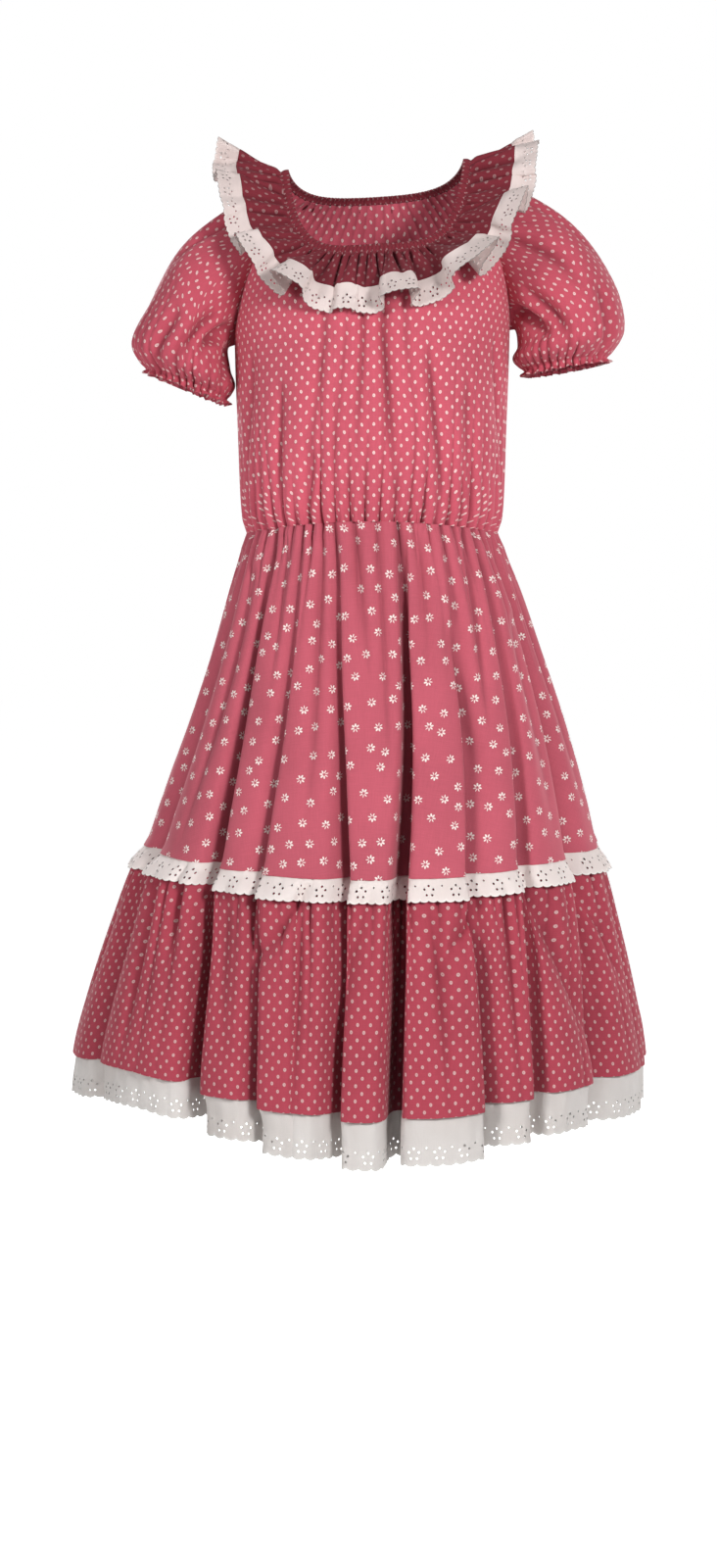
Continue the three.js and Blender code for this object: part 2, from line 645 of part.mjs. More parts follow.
makeNeck();
makeBodice("front");
makeBodice("back");
for (const shape of SLEEVES) makeSleeve(shape);
makeSkirt("front", 0, FRONT_FOLDS);
makeSkirt("back", FRONT_FOLDS, FOLDS.length);
for (const strip of TIER_STRIPS) makeTier(strip);
const laceRows = [0, 1].map((v) => ({ v, places: places(0, FOLDS.length, FOLDS.length * 9) }));
addPiece("tier_lace", wall(pointRows(tierLace, laceRows, {}), LACE, true), COLOURS.lace);

export default dress;
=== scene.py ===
# %% [markdown]
# A square dance dress, finished in Blender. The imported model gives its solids, and this lesson puts
# thin printed cotton and eyelet lace in their places. Every piece is made the way a dressmaker
# thinks of it: a flat cut of cloth whose every point is laid on a curved form. The form's sizes are
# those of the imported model, in millimetres, because the cloth has to lie where its solid is. Only
# its folds, gathers and creases are sharper and finer than the solids can show.

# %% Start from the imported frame
import math
from functools import partial

import bpy
import numpy as np
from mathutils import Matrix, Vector
from mathutils.geometry import delaunay_2d_cdt


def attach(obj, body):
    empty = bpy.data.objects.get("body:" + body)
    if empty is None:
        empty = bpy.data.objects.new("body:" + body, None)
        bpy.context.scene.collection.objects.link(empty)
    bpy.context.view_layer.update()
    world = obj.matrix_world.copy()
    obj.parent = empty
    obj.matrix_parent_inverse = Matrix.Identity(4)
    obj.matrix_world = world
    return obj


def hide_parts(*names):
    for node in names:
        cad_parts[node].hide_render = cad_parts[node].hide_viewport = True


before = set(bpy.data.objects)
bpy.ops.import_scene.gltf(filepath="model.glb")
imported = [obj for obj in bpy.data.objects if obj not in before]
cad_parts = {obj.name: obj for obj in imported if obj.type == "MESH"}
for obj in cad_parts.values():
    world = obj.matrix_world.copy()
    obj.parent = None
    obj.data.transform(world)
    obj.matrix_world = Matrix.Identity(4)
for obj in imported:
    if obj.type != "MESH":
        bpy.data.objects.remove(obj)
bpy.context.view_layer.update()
MM = 0.001

# %% [markdown]
# Folded cloth is uneven, and each run has to give the same folds. So the uneven numbers come from
# one seeded list, and a smooth curve is drawn through them.

# %% Small helpers for numbers
LUCK = np.random.default_rng(11).random(997)


def table(columns, *rows):
    """A short table, as one array for each named column."""
    return {name: np.array(values, float) for name, values in zip(columns.split(), zip(*rows))}


def mix(a, b, share):
    return a + (b - a) * share


def smooth(x, low, high):
    share = np.clip((x - low) / (high - low), 0, 1)
    return share * share * (3 - 2 * share)


def wave(turns):
    return 0.5 - 0.5 * np.cos(2 * np.pi * turns)


def bell(x, at, wide):
    """1 at a place and falling softly to 0 on both sides."""
    return np.exp(-(((x - at) / wide) ** 2))


def hermite(start, leave, end, arrive, t):
    rest = 1 - t
    return (
        start * (1 + 2 * t) * rest * rest
        + leave * t * rest * rest
        + end * t * t * (3 - 2 * t)
        - arrive * t * t * rest
    )


def slopes(at, values):
    """Slopes of a smooth curve through rows of numbers or of points."""
    gap = (at[2:] - at[:-2]).reshape(-1, *[1] * (values.ndim - 1))
    first = (values[1:2] - values[:1]) / (at[1] - at[0])
    last = (values[-1:] - values[-2:-1]) / (at[-1] - at[-2])
    return np.concatenate([first, (values[2:] - values[:-2]) / gap, last])


def read(rows, axis, column, x):
    """One column of a table at x along another, on a smooth curve through its rows."""
    at, value = rows[axis], rows[column]
    slope = slopes(at, value)
    x = np.asarray(x, float)
    i = np.clip(np.searchsorted(at, x) - 1, 0, len(at) - 2)
    span = at[i + 1] - at[i]
    t = np.clip((x - at[i]) / span, 0, 1)
    return hermite(value[i], slope[i] * span, value[i + 1], slope[i + 1] * span, t)


def uneven(place, turn, seed):
    """A number from 0 to 1 that changes softly with the place and comes round after a turn."""
    first = np.floor(place).astype(int)
    before = LUCK[(first % turn + 71 * seed) % len(LUCK)]
    after = LUCK[((first + 1) % turn + 71 * seed) % len(LUCK)]
    return mix(before, after, smooth(place - first, 0, 1))


def sway(place, turn, seed):
    """The same from -1 to 1."""
    return 2 * uneven(place, turn, seed) - 1


# %% [markdown]
# Gathered cloth stands in round ridges with narrow dents between them. Each ridge has a depth and a
# length of its own, and leans a little, so a plain sine wave would look machine made. A table has a
# row for each size of gathers at a seam: how many there are for each step of the place, their depth,
# how far from the seam they fade, after how many they come round, and where their luck starts.

# %% Gathers below or above a seam
GATHER_COLUMNS = "many deep fade turn seed"
SHALLOWEST = 0.5
SHORTEST, LONGEST = 0.45, 1.55
LEAN = 0.8
RIDGE = {"deep": 1.2, "blunt": 0.004, "round": 0.3}


def crimp(turns):
    """About 0 on the ridges and 1 in the narrow dents at whole numbers."""
    away = (np.sin(np.pi * turns) ** 2 + RIDGE["blunt"]) ** RIDGE["round"]
    return RIDGE["deep"] - RIDGE["deep"] * away


def gathers(rows, place, away, luck=0):
    """How deep the dents of a table's gathers are, some way from the seam that makes them."""
    total = 0
    for many, deep, fade, turn, seed in zip(*rows.values()):
        number, turn, seed = many * place, int(turn), int(seed) + luck
        depth = deep * mix(SHALLOWEST, 1, uneven(number, turn, seed))
        reach = fade * mix(SHORTEST, LONGEST, uneven(number, turn, seed + 1))
        lean = LEAN * (uneven(number / 2, turn // 2, seed + 2) - 0.5) * smooth(away, 0, 2 * fade)
        total = total + depth * np.exp(-away / reach) * crimp(number + lean)
    return total


# %% [markdown]
# The body of the dress is a row of rings, from the armpits to the hem. A ring is an oval with its
# own depth before and behind, and the tables give it for each distance down from the shoulders.

# %% Sizes and rings of the dress
ARMPIT_DOWN = 173
WAIST_DOWN = 382
SEAM_DOWN = 727
HEM_DOWN = 966
SEAM_DIP = 20
HEM_DIP = 14
HEM_LACE_WIDTH = 49
NECK_LACE_WIDTH = 24
RUFFLE_WIDTH = 50
SHOULDER_TILT = 0.06
TILT_TOP_DOWN = 113

FRONT_TO_BACK = (-0.25, 0.25)
RINGS = table(
    "down half front back shift",
    (173, 150, 120, 104, 0),
    (215, 149, 124, 107, 0),
    (270, 147, 121, 107, 0),
    (330, 145, 115, 103, 0),
    (366, 143, 108, 98, 0),
    (382, 140, 102, 93, 0),
    (400, 146, 109, 101, 1),
    (443, 162, 126, 120, 3),
    (508, 183, 149, 145, 5),
    (594, 211, 178, 176, 6),
    (680, 238, 205, 204, 3),
    (727, 252, 219, 218, 0),
    (748, 263, 229, 228, -3),
    (810, 281, 246, 245, -5),
    (896, 303, 266, 265, -9),
    (966, 317, 279, 278, -12),
    (1060, 322, 284, 283, -13),
)


def ring_point(angle, down, inset):
    """Point on a ring, at an angle from the centre front and moved in from the ring's edge."""
    turn = np.radians(angle)
    forward = np.cos(turn)
    back, front = (read(RINGS, "down", side, down) for side in ("back", "front"))
    deep = mix(back, front, smooth(forward, *FRONT_TO_BACK))
    half, shift = (read(RINGS, "down", column, down) for column in ("half", "shift"))
    x = (half - inset) * np.sin(turn) + shift
    return np.stack([x, -(deep - inset) * forward, -down + 0 * turn], axis=-1)


def tilted(point):
    """The upper dress tilts with the shoulders, and the tilt fades out at the waist."""
    share = smooth(-point[..., 2], TILT_TOP_DOWN, WAIST_DOWN)
    point[..., 2] += SHOULDER_TILT * point[..., 0] * (1 - share)
    return point


# %% [markdown]
# The skirt and its tier hang in sixteen big folds. Between two folds lies a valley, and its row
# gives its angle at the waist, the tier seam and the hem, its depths, its half width at the hem, how
# far its floor slips under a neighbour, how much lower the next fold hangs, and how crisp it is. The
# last two numbers say how far the folds on its left and right roll over it, as shares of its width:
# a fold that rolls far over shows a sharp edge with a dark band beside it.

# %% The skirt's big folds
FOLDS = table(
    "waist seam hem seam_deep hem_deep wide tuck hang crisp left right",
    (-90, -93, -93, 16, 30, 34, 0, -18, 2.4, 0.3, 0.3),
    (-69, -70, -64, 16, 30, 32, -8, -32, 2.4, 0.1, 0.7),
    (-49, -42, -32, 46, 72, 30, -18, -16, 3.4, 0.2, 1.0),
    (-33, -29, -20, 22, 34, 20, 8, -2, 2.8, 0.1, 0.9),
    (-18, -7, -5, 34, 44, 22, 14, 10, 3.0, 0.1, 0.9),
    (12, 8, 7, 48, 74, 26, 10, 6, 3.6, 0.3, 1.0),
    (33, 25, 26, 20, 44, 24, -14, -6, 2.8, 0.9, 0.1),
    (52, 42, 38, 20, 36, 20, -8, -10, 2.6, 0.1, 0.8),
    (71, 60, 54, 40, 60, 36, -10, -6, 3.0, 0.9, 0.2),
    (90, 87, 84, 18, 38, 34, 0, -2, 2.4, 0.2, 0.4),
    (115, 110, 108, 36, 56, 30, 10, 5, 2.9, 0.9, 0.2),
    (141, 136, 134, 22, 40, 34, -8, -3, 2.6, 0.1, 0.8),
    (167, 160, 157, 46, 70, 30, 12, 6, 3.2, 1.0, 0.4),
    (193, 190, 187, 26, 46, 36, -8, 0, 2.7, 0.2, 0.8),
    (219, 216, 214, 42, 62, 30, 12, 5, 3.0, 0.9, 0.3),
    (245, 241, 241, 24, 42, 34, 0, -3, 2.5, 0.6, 0.2),
)
FOLD_COUNT = len(FOLDS["waist"])
WAIST_ANGLES = np.append(FOLDS["waist"], FOLDS["waist"][0] + 360)
FRONT_FOLDS = 9
TIER_STRIPS = {"front_left": 3.5, "back_left": 7.5, "back_right": 11.5, "front_right": 15.5}
FOLDS_A_STRIP = 4


def valley(number, column):
    return FOLDS[column][np.mod(number, FOLD_COUNT)]


def upper(level):
    """0 at the waist and 1 from the tier seam down."""
    return np.clip(level, 0, 1)


def lower(level):
    """0 down to the tier seam and 1 at the hem lace's middle."""
    return np.clip((level - 1) / 1.5, 0, 1)


def valley_angle(number, level):
    hung = mix(valley(number, "waist"), valley(number, "seam"), upper(level))
    straighter = 1 - (1 - lower(level)) ** 2
    return mix(hung, valley(number, "hem"), straighter) + 360 * np.floor_divide(number, FOLD_COUNT)


def skirt_down(level):
    """Distance down at a level: 0 waist, 1 tier seam, 2 hem, 3 edge of the hem lace."""
    downs = [WAIST_DOWN, SEAM_DOWN, HEM_DOWN, HEM_DOWN + HEM_LACE_WIDTH]
    return np.interp(level, range(4), downs)


# %% [markdown]
# Between the big folds lie soft creases that each run only part of the way. They are listed:
# the angle where each starts and ends, its span down from the shoulders, its depth and half width.

# %% Soft creases of the skirt and the tier
SKIRT_CREASES = table(
    "start end top foot deep wide",
    (-80, -84, 400, 640, 4, 10),
    (-58, -57, 420, 725, 6, 12),
    (-41, -36, 390, 560, 5, 8),
    (-24, -17, 395, 690, 7, 10),
    (-8, -1, 386, 560, 5, 8),
    (2, 3, 386, 640, 5, 7),
    (22, 17, 386, 520, 6, 8),
    (26, 33, 470, 700, 4, 11),
    (44, 34, 386, 600, 6, 8),
    (60, 50, 470, 727, 6, 10),
    (64, 66, 386, 540, 5, 8),
    (80, 73, 400, 700, 5, 11),
    (102, 99, 386, 640, 6, 9),
    (127, 124, 400, 700, 6, 12),
    (150, 147, 386, 560, 6, 9),
    (158, 173, 430, 727, 6, 12),
    (180, 177, 386, 620, 5, 9),
    (204, 203, 400, 690, 6, 11),
    (232, 229, 386, 640, 6, 10),
    (258, 255, 420, 720, 5, 12),
)
TIER_CREASES = table(
    "start end top foot deep wide",
    (-82, -78, 735, 900, 5, 10),
    (-60, -52, 735, 960, 6, 10),
    (-52, -46, 730, 860, 9, 7),
    (-34, -26, 730, 940, 9, 8),
    (-15, -25, 730, 850, 8, 7),
    (-16, -12, 730, 1000, 8, 9),
    (0, -3, 730, 900, 10, 8),
    (5, 3, 730, 850, 8, 6),
    (15, 17, 730, 980, 8, 9),
    (24, 15, 735, 840, 9, 8),
    (33, 32, 735, 1000, 8, 10),
    (44, 50, 730, 960, 11, 10),
    (63, 70, 730, 900, 6, 9),
    (76, 72, 730, 1000, 5, 10),
    (97, 95, 730, 930, 6, 10),
    (121, 123, 735, 990, 6, 11),
    (148, 144, 730, 900, 7, 9),
    (173, 175, 735, 970, 6, 11),
    (203, 199, 730, 900, 7, 9),
    (229, 232, 735, 990, 6, 11),
    (254, 250, 730, 930, 6, 10),
)
CREASE_STRENGTH = 1.7
CREASE = {"steep": 1.3, "blunt": 0.05, "floor": 0.22, "fade": 0.6}


def creased(rows, angle, down, reach):
    """Depth of soft creases at an angle and a distance down, on a form of some radius."""
    deep = 0
    for start, end, top, foot, depth, wide in zip(*rows.values()):
        share = np.clip((down - top) / (foot - top), 0, 1)
        apart = np.mod(angle - mix(start, end, share) + 180, 360) - 180
        away = np.radians(apart) * reach / wide
        side = np.sqrt(away * away + CREASE["blunt"]) - CREASE["floor"]
        strength = CREASE_STRENGTH * depth * np.sin(np.pi * share ** CREASE["fade"])
        deep = deep + strength * np.exp(-CREASE["steep"] * side)
    return deep


# %% A point of the skirt or the tier
WAIST_WIDTH = 0.55
SLIT = {"waist": 0.5, "seam": 0.72}
SLIT_SHARE = 0.7
DEEPENING = 0.7
ROLL = {"at": 1.25, "wide": 0.5, "shallow": 2, "deep": 24}


def skirt_point(fold, level, ripple, creases=SKIRT_CREASES):
    """Point at a fold number and a level, moved out by a ripple."""
    fold, level = np.broadcast_arrays(np.asarray(fold, float), np.asarray(level, float))
    first = np.floor(fold).astype(int)
    angle = mix(valley_angle(first, level), valley_angle(first + 1, level), fold - first)
    down = skirt_down(level)
    reach = read(RINGS, "down", "half", down)
    inset = creased(creases, angle, down, reach)
    turned = 0
    for number in (first - 1, first, first + 1, first + 2):
        hem_deep = valley(number, "hem_deep")
        deep = mix(valley(number, "seam_deep") * upper(level) ** DEEPENING, hem_deep, lower(level))
        wide = valley(number, "wide") * mix(WAIST_WIDTH, 1, upper(level))
        slit = wide * mix(SLIT["waist"], SLIT["seam"], smooth(level, 0, 1))
        apart = np.radians(angle - valley_angle(number, level)) * reach
        away = np.abs(apart) / slit
        narrow = np.exp(-(away ** valley(number, "crisp")))
        share = mix(bell(apart, 0, wide), narrow, SLIT_SHARE)
        inset = inset + deep * share
        turned = turned + valley(number, "tuck") * deep * share / hem_deep
        over = np.where(apart < 0, valley(number, "left"), -valley(number, "right"))
        rolled = bell(away, ROLL["at"], ROLL["wide"])
        turned = turned + over * slit * rolled * smooth(deep, ROLL["shallow"], ROLL["deep"])
    point = ring_point(angle + np.degrees(turned / reach), down, inset - ripple)
    dip = mix(SEAM_DIP * upper(level), HEM_DIP, lower(level))
    middle = np.floor(fold - 0.5).astype(int)
    swing = smooth(fold - 0.5 - middle, 0, 1)
    hang = mix(valley(middle, "hang"), valley(middle + 1, "hang"), swing)
    point[..., 2] -= dip * np.cos(np.radians(angle)) ** 2 + hang * lower(level)
    return point


# %% [markdown]
# The elastic waist seam pulls the cloth in, and every piece that is gathered into a seam shows it.
# The skirt's lower edge is turned and stands off over the lace. The tier is cut much longer than
# the seam it is sewn to, so it swells out just below it.

# %% The skirt, the tier and their lace as surfaces
SKIRT_GATHERS = table(GATHER_COLUMNS, (3, 9.5, 60, 48, 1), (7.2, 2.4, 20, 48, 4))
TIER_GATHERS = table(GATHER_COLUMNS, (6, 14, 75, 96, 7), (12, 2.2, 18, 192, 9))
TIER_LACE_GATHERS = table(GATHER_COLUMNS, (9, 2.2, 14, 144, 5))
HEM_LACE_GATHERS = table(GATHER_COLUMNS, (8, 3.4, 34, 128, 12))
WAIST_BOW = {"high": 11, "level": 0.4, "fade": 60}
GROOVE = {"deep": 1.3, "wide": 3}
TIER_SEAM_REACH = 150
WAIST_PINCH = {"deep": 2.2, "fade": 5}
SIDE_SEAM = {"reach": 100, "starts": (0.05, 0.2)}
TURNED_EDGE = {"out": 1.6, "starts": (0.97, 1)}
TIER_SWELL = {"out": 5, "within": 14, "start": 1.8}
TIER_LACE_OUT = {"out": 8.5, "starts": (-6, 24), "start": 0.6}
HEM_LACE_START = 0.9
TIER_FRILL = {"out": 2.2, "starts": (0, 26), "a_fold": 6, "luck": 3}
HEM_FRILL = {"out": 3.2, "starts": (5, 50), "a_fold": 5, "luck": 15}


def bowed(point, forward, from_waist):
    """The waist seam rides a little higher in front, and the cloth beside it goes along."""
    high = WAIST_BOW["high"] * (np.maximum(forward, 0) ** 2 - WAIST_BOW["level"])
    point[..., 2] += high * bell(from_waist, 0, WAIST_BOW["fade"])
    return point


def seam_groove(fold, seams, reach):
    """Depth of the groove at seams that run down the cloth."""
    half = FOLD_COUNT / 2
    away = [np.abs(np.mod(fold - seam + half, FOLD_COUNT) - half) for seam in seams]
    return GROOVE["deep"] * bell(np.min(away, axis=0) * reach, 0, GROOVE["wide"])


def skirt(fold, level):
    below = skirt_down(level) - WAIST_DOWN
    pulled = gathers(SKIRT_GATHERS, fold, below)
    pinched = WAIST_PINCH["deep"] * np.exp(-below / WAIST_PINCH["fade"])
    turned_edge = TURNED_EDGE["out"] * smooth(level, *TURNED_EDGE["starts"])
    groove = seam_groove(fold, (0, FRONT_FOLDS), SIDE_SEAM["reach"])
    groove = groove * smooth(level, *SIDE_SEAM["starts"])
    point = skirt_point(fold, level, turned_edge - pulled - pinched - groove)
    forward = np.cos(np.radians(np.interp(fold, np.arange(FOLD_COUNT + 1), WAIST_ANGLES)))
    return bowed(point, forward, below)


def tier(fold, level):
    below = np.maximum(skirt_down(level) - SEAM_DOWN, 0)
    swell = TIER_SWELL["out"] * (1 - np.exp(-below / TIER_SWELL["within"])) - TIER_SWELL["start"]
    groove = seam_groove(fold, TIER_STRIPS.values(), TIER_SEAM_REACH)
    pulled = gathers(TIER_GATHERS, fold, below)
    return skirt_point(fold, level, swell - groove - pulled, TIER_CREASES)


def lace_level(seam, drop, above, below):
    """Level of a point below the seam with a level of its own, or a little above it."""
    return seam + np.maximum(drop, 0) / below + np.minimum(drop, 0) / above


def frill(edge, fold, drop):
    """The soft wave of a lace's free edge."""
    waves = sway(edge["a_fold"] * fold, edge["a_fold"] * FOLD_COUNT, edge["luck"])
    return edge["out"] * smooth(drop, *edge["starts"]) * waves


def tier_lace(fold, drop):
    """The lace under the skirt's edge, at a distance below the seam in millimetres."""
    level = lace_level(1, drop, SEAM_DOWN - WAIST_DOWN, HEM_DOWN - SEAM_DOWN)
    out = TIER_LACE_OUT["out"] * smooth(drop, *TIER_LACE_OUT["starts"]) - TIER_LACE_OUT["start"]
    pulled = gathers(TIER_LACE_GATHERS, fold, np.maximum(drop, 0))
    return skirt_point(fold, level, out + frill(TIER_FRILL, fold, drop) - pulled, TIER_CREASES)


def hem_lace(fold, drop):
    """The lace below the tier's hem, at a distance below the hem in millimetres."""
    level = lace_level(2, drop, HEM_DOWN - SEAM_DOWN, HEM_LACE_WIDTH)
    pulled = gathers(HEM_LACE_GATHERS, fold, np.maximum(drop, 0)) + HEM_LACE_START
    return skirt_point(fold, level, frill(HEM_FRILL, fold, drop) - pulled, TIER_CREASES)


# %% [markdown]
# The neckline is an elastic casing on a scooped oval. The cloth falls away from it, steeply in front
# and gently over the shoulders, and the casing, the ruffle and the bodice all start from it.

# %% The neckline
NECK = {"shift": 4, "half": 95, "front": 72, "back": 66, "rise": 12, "scoop": 93, "back_scoop": 26}
NECK_SLOPE = {"forward": 0.42, "side": 0.25, "front": 0.67}
CASING_WIDTH = 8
SEAM_GAP = 0.3
UNDER_CASING = 0.95
RAGLAN = {"front": 65, "back": 50}
RAGLAN_SHARE = 0.36
SHOULDER_BOW = 26
YOKE_REACH = 118
SOFT = 0.15


def rounded(number):
    """Size of a number from -1 to 1, rounded off near zero."""
    return (np.hypot(number, SOFT) - SOFT) / (math.hypot(1, SOFT) - SOFT)


def unit(vectors):
    return vectors / np.linalg.norm(vectors, axis=-1, keepdims=True)


def neck_edge(angle):
    across, forward = np.sin(np.radians(angle)), np.cos(np.radians(angle))
    scoop = np.where(forward > 0, NECK["scoop"], NECK["back_scoop"])
    deep = np.where(forward > 0, NECK["front"], NECK["back"])
    sunk = scoop * np.sin(rounded(forward) * np.pi / 2)
    x = NECK["shift"] + NECK["half"] * across
    return np.stack([x, -deep * forward, NECK["rise"] - sunk], axis=-1)


def neck_frame(angle):
    """The neckline's edge, the way down the cloth from there, and the way off it."""
    across, forward = np.sin(np.radians(angle)), np.cos(np.radians(angle))
    fall = NECK_SLOPE["side"] + NECK_SLOPE["front"] * rounded(forward)
    down = unit(np.stack([across, -NECK_SLOPE["forward"] * forward, -fall], axis=-1))
    along = unit(neck_edge(angle + 1) - neck_edge(angle - 1))
    return neck_edge(angle), down, unit(np.cross(down, along))


def neck_point(angle, away, lift):
    edge, down, off = neck_frame(angle)
    return edge + down * np.asarray(away)[..., None] + off * np.asarray(lift)[..., None]


CASING_GATHERS = table(GATHER_COLUMNS, (150, 1.5, 20, 150, 2))
CASING_BULGE = 0.9
CASING_OUT = 0.3


def casing(angle, share):
    """The casing bulges round its elastic and is crimped all the way round."""
    bulge = CASING_BULGE * np.sin(np.pi * share) + CASING_OUT
    crimped = gathers(CASING_GATHERS, angle / 360, 0 * share)
    return tilted(neck_point(angle, CASING_WIDTH * share, bulge - crimped))


def under_casing(angle, pulled):
    """Top edge of the bodice and the sleeves, just below the casing."""
    return neck_point(angle, CASING_WIDTH + SEAM_GAP + 0 * angle, -UNDER_CASING - pulled)


# %% [markdown]
# The bodice is gathered into the casing above and into the waist below. Its upper rows run from the
# neckline to the ring at the armpits, and its sides up there are the slanting raglan seams.

# %% The bodice
FRONT_CREASES = table(
    "start end top foot deep wide",
    (-17, -34, 120, 400, 4, 9),
    (-2, -8, 95, 340, 6, 8),
    (2, 12, 95, 400, 8, 9),
    (24, 35, 190, 400, 6, 9),
    (44, 49, 230, 400, 4, 8),
    (-41, -48, 220, 400, 4, 8),
    (-10, -18, 150, 330, 3, 7),
    (12, 20, 130, 300, 3, 8),
    (-26, -30, 300, 400, 4, 6),
    (-60, -72, 190, 330, 4, 10),
    (62, 74, 180, 320, 4, 10),
)
BACK_CREASES = table(
    "start end top foot deep wide",
    (140, 132, 230, 400, 4, 9),
    (160, 152, 130, 400, 5, 9),
    (172, 168, 90, 300, 4, 8),
    (186, 192, 90, 400, 6, 9),
    (206, 214, 180, 400, 4, 9),
    (228, 234, 250, 400, 4, 8),
    (118, 108, 190, 320, 4, 10),
    (242, 252, 190, 320, 4, 10),
)
FACES = {
    "front": {"centre": 0, "neck": 26, "waist": 27, "creases": FRONT_CREASES, "luck": 20},
    "back": {"centre": 180, "neck": 20, "waist": 21, "creases": BACK_CREASES, "luck": 30},
}
BODICE_WAIST_GATHERS = table(GATHER_COLUMNS, (1, 11, 56, 60, 0), (2.3, 3.4, 24, 90, 3))
NECK_GATHERS = table(GATHER_COLUMNS, (1, 2.6, 30, 60, 6))
BODICE_REACH = 150
BODICE_PINCH = {"deep": 1.8, "fade": 5}


def bodice(face, across, level):
    """Point of the bodice, across it from -1 to 1: level 0 neck, 1 armpits, 2 waist."""
    across, level = np.broadcast_arrays(np.asarray(across, float), np.asarray(level, float))
    part = FACES[face]
    angle = part["centre"] + 90 * across
    down = mix(ARMPIT_DOWN, WAIST_DOWN, np.maximum(level - 1, 0))
    above = WAIST_DOWN - down
    pulled = gathers(BODICE_WAIST_GATHERS, (across + 1) * part["waist"] / 2, above, part["luck"])
    pinched = BODICE_PINCH["deep"] * np.exp(-above / BODICE_PINCH["fade"])
    inset = pulled + pinched + creased(part["creases"], angle, down, BODICE_REACH)
    body = bowed(tilted(ring_point(angle, down, inset)), np.cos(np.radians(angle)), above)

    share = np.clip(level, 0, 1)
    neck_angle = part["centre"] + RAGLAN[face] * across
    pulled = gathers(NECK_GATHERS, (across + 1) * part["neck"] / 2, 0 * across, part["luck"])
    top = under_casing(neck_angle, pulled)
    leave = YOKE_REACH * neck_frame(neck_angle)[1]
    chest = ring_point(angle, ARMPIT_DOWN + 0 * angle, 0)
    sunk = creased(part["creases"], angle, mix(-top[..., 2], ARMPIT_DOWN, share), BODICE_REACH)
    forward = -np.cos(np.radians(part["centre"]))
    bow = 4 * share * (1 - share) * SHOULDER_BOW * across**2
    yoke = hermite(top, leave, chest, np.array([0, 0, -YOKE_REACH]), share[..., None])
    yoke[..., 1] += forward * (bow - sunk)
    return np.where((level >= 1)[..., None], body, tilted(yoke))


# %% [markdown]
# The sleeves are puffed tubes that hang from the raglan seams and the neckline, gathered into a
# narrow elastic at the cuff. Their sections come from the same short tables as their solids, and
# their creases run up from the cuff, down from the neckline and out from the armpit.

# %% The sleeves
SLEEVES = {
    "sleeve_right": {
        "side": -1,
        "sections": table(
            "along across down half deep tilt",
            (0.3, 177, 125, 64, 66, 73),
            (0.6, 197, 167, 57, 76, 44),
            (0.82, 207, 202, 57, 73, 25),
            (0.94, 204, 221, 50, 57, 20),
            (1, 203, 229, 51, 58, 20),
        ),
        "creases": table(
            "round_top round_foot top foot deep wide",
            (0.93, 0.80, 0.10, 0.75, 7, 9),
            (0.84, 0.72, 0.25, 0.95, 6, 8),
            (0.97, 0.90, 0.30, 0.95, 6, 9),
            (0.70, 0.66, 0.55, 1.00, 5, 8),
            (0.60, 0.57, 0.00, 0.45, 4, 9),
            (0.47, 0.44, 0.00, 0.60, 4, 10),
            (0.52, 0.56, 0.60, 1.00, 4, 8),
            (0.38, 0.34, 0.50, 1.00, 5, 8),
            (0.20, 0.28, 0.15, 0.80, 6, 9),
            (0.10, 0.13, 0.30, 1.00, 5, 9),
        ),
        "luck": 40,
    },
    "sleeve_left": {
        "side": 1,
        "sections": table(
            "along across down half deep tilt",
            (0.3, 184, 106, 66, 66, 66),
            (0.6, 212, 150, 62, 78, 32),
            (0.82, 215, 182, 58, 74, 15),
            (0.94, 212, 200, 49, 57, 9),
            (1, 212, 208, 50, 58, 9),
        ),
        "creases": table(
            "round_top round_foot top foot deep wide",
            (0.06, 0.17, 0.05, 0.75, 9, 10),
            (0.16, 0.24, 0.20, 0.90, 6, 8),
            (0.27, 0.31, 0.00, 0.55, 5, 9),
            (0.36, 0.37, 0.55, 1.00, 5, 8),
            (0.45, 0.43, 0.00, 0.50, 4, 10),
            (0.50, 0.48, 0.60, 1.00, 4, 8),
            (0.63, 0.66, 0.10, 0.80, 5, 9),
            (0.80, 0.73, 0.15, 0.85, 6, 9),
            (0.91, 0.88, 0.30, 1.00, 5, 9),
        ),
        "luck": 50,
    },
}
CUFF_GATHERS = table(GATHER_COLUMNS, (34, 7.5, 38, 34, 0), (68, 1.4, 9, 68, 3))
CUFF_FRILL = {"out": 2.5, "above": (1, 9), "waves": 17}
CUFF_GIRTH = 420
SLEEVE_LENGTH = 210
SLEEVE_NECK_GATHERS = 12
SLEEVE_LUCK = 38
ELASTIC = {"at": 8, "wide": 5, "deep": 3.5}
PUFF = {"at": 40, "wide": 24, "out": 5}
SLEEVE_CREASE = {"strength": 2.2, "fade": 0.8}
SLEEVE_TOP = 0.06
NECK_GATHERS_FADE = 0.3


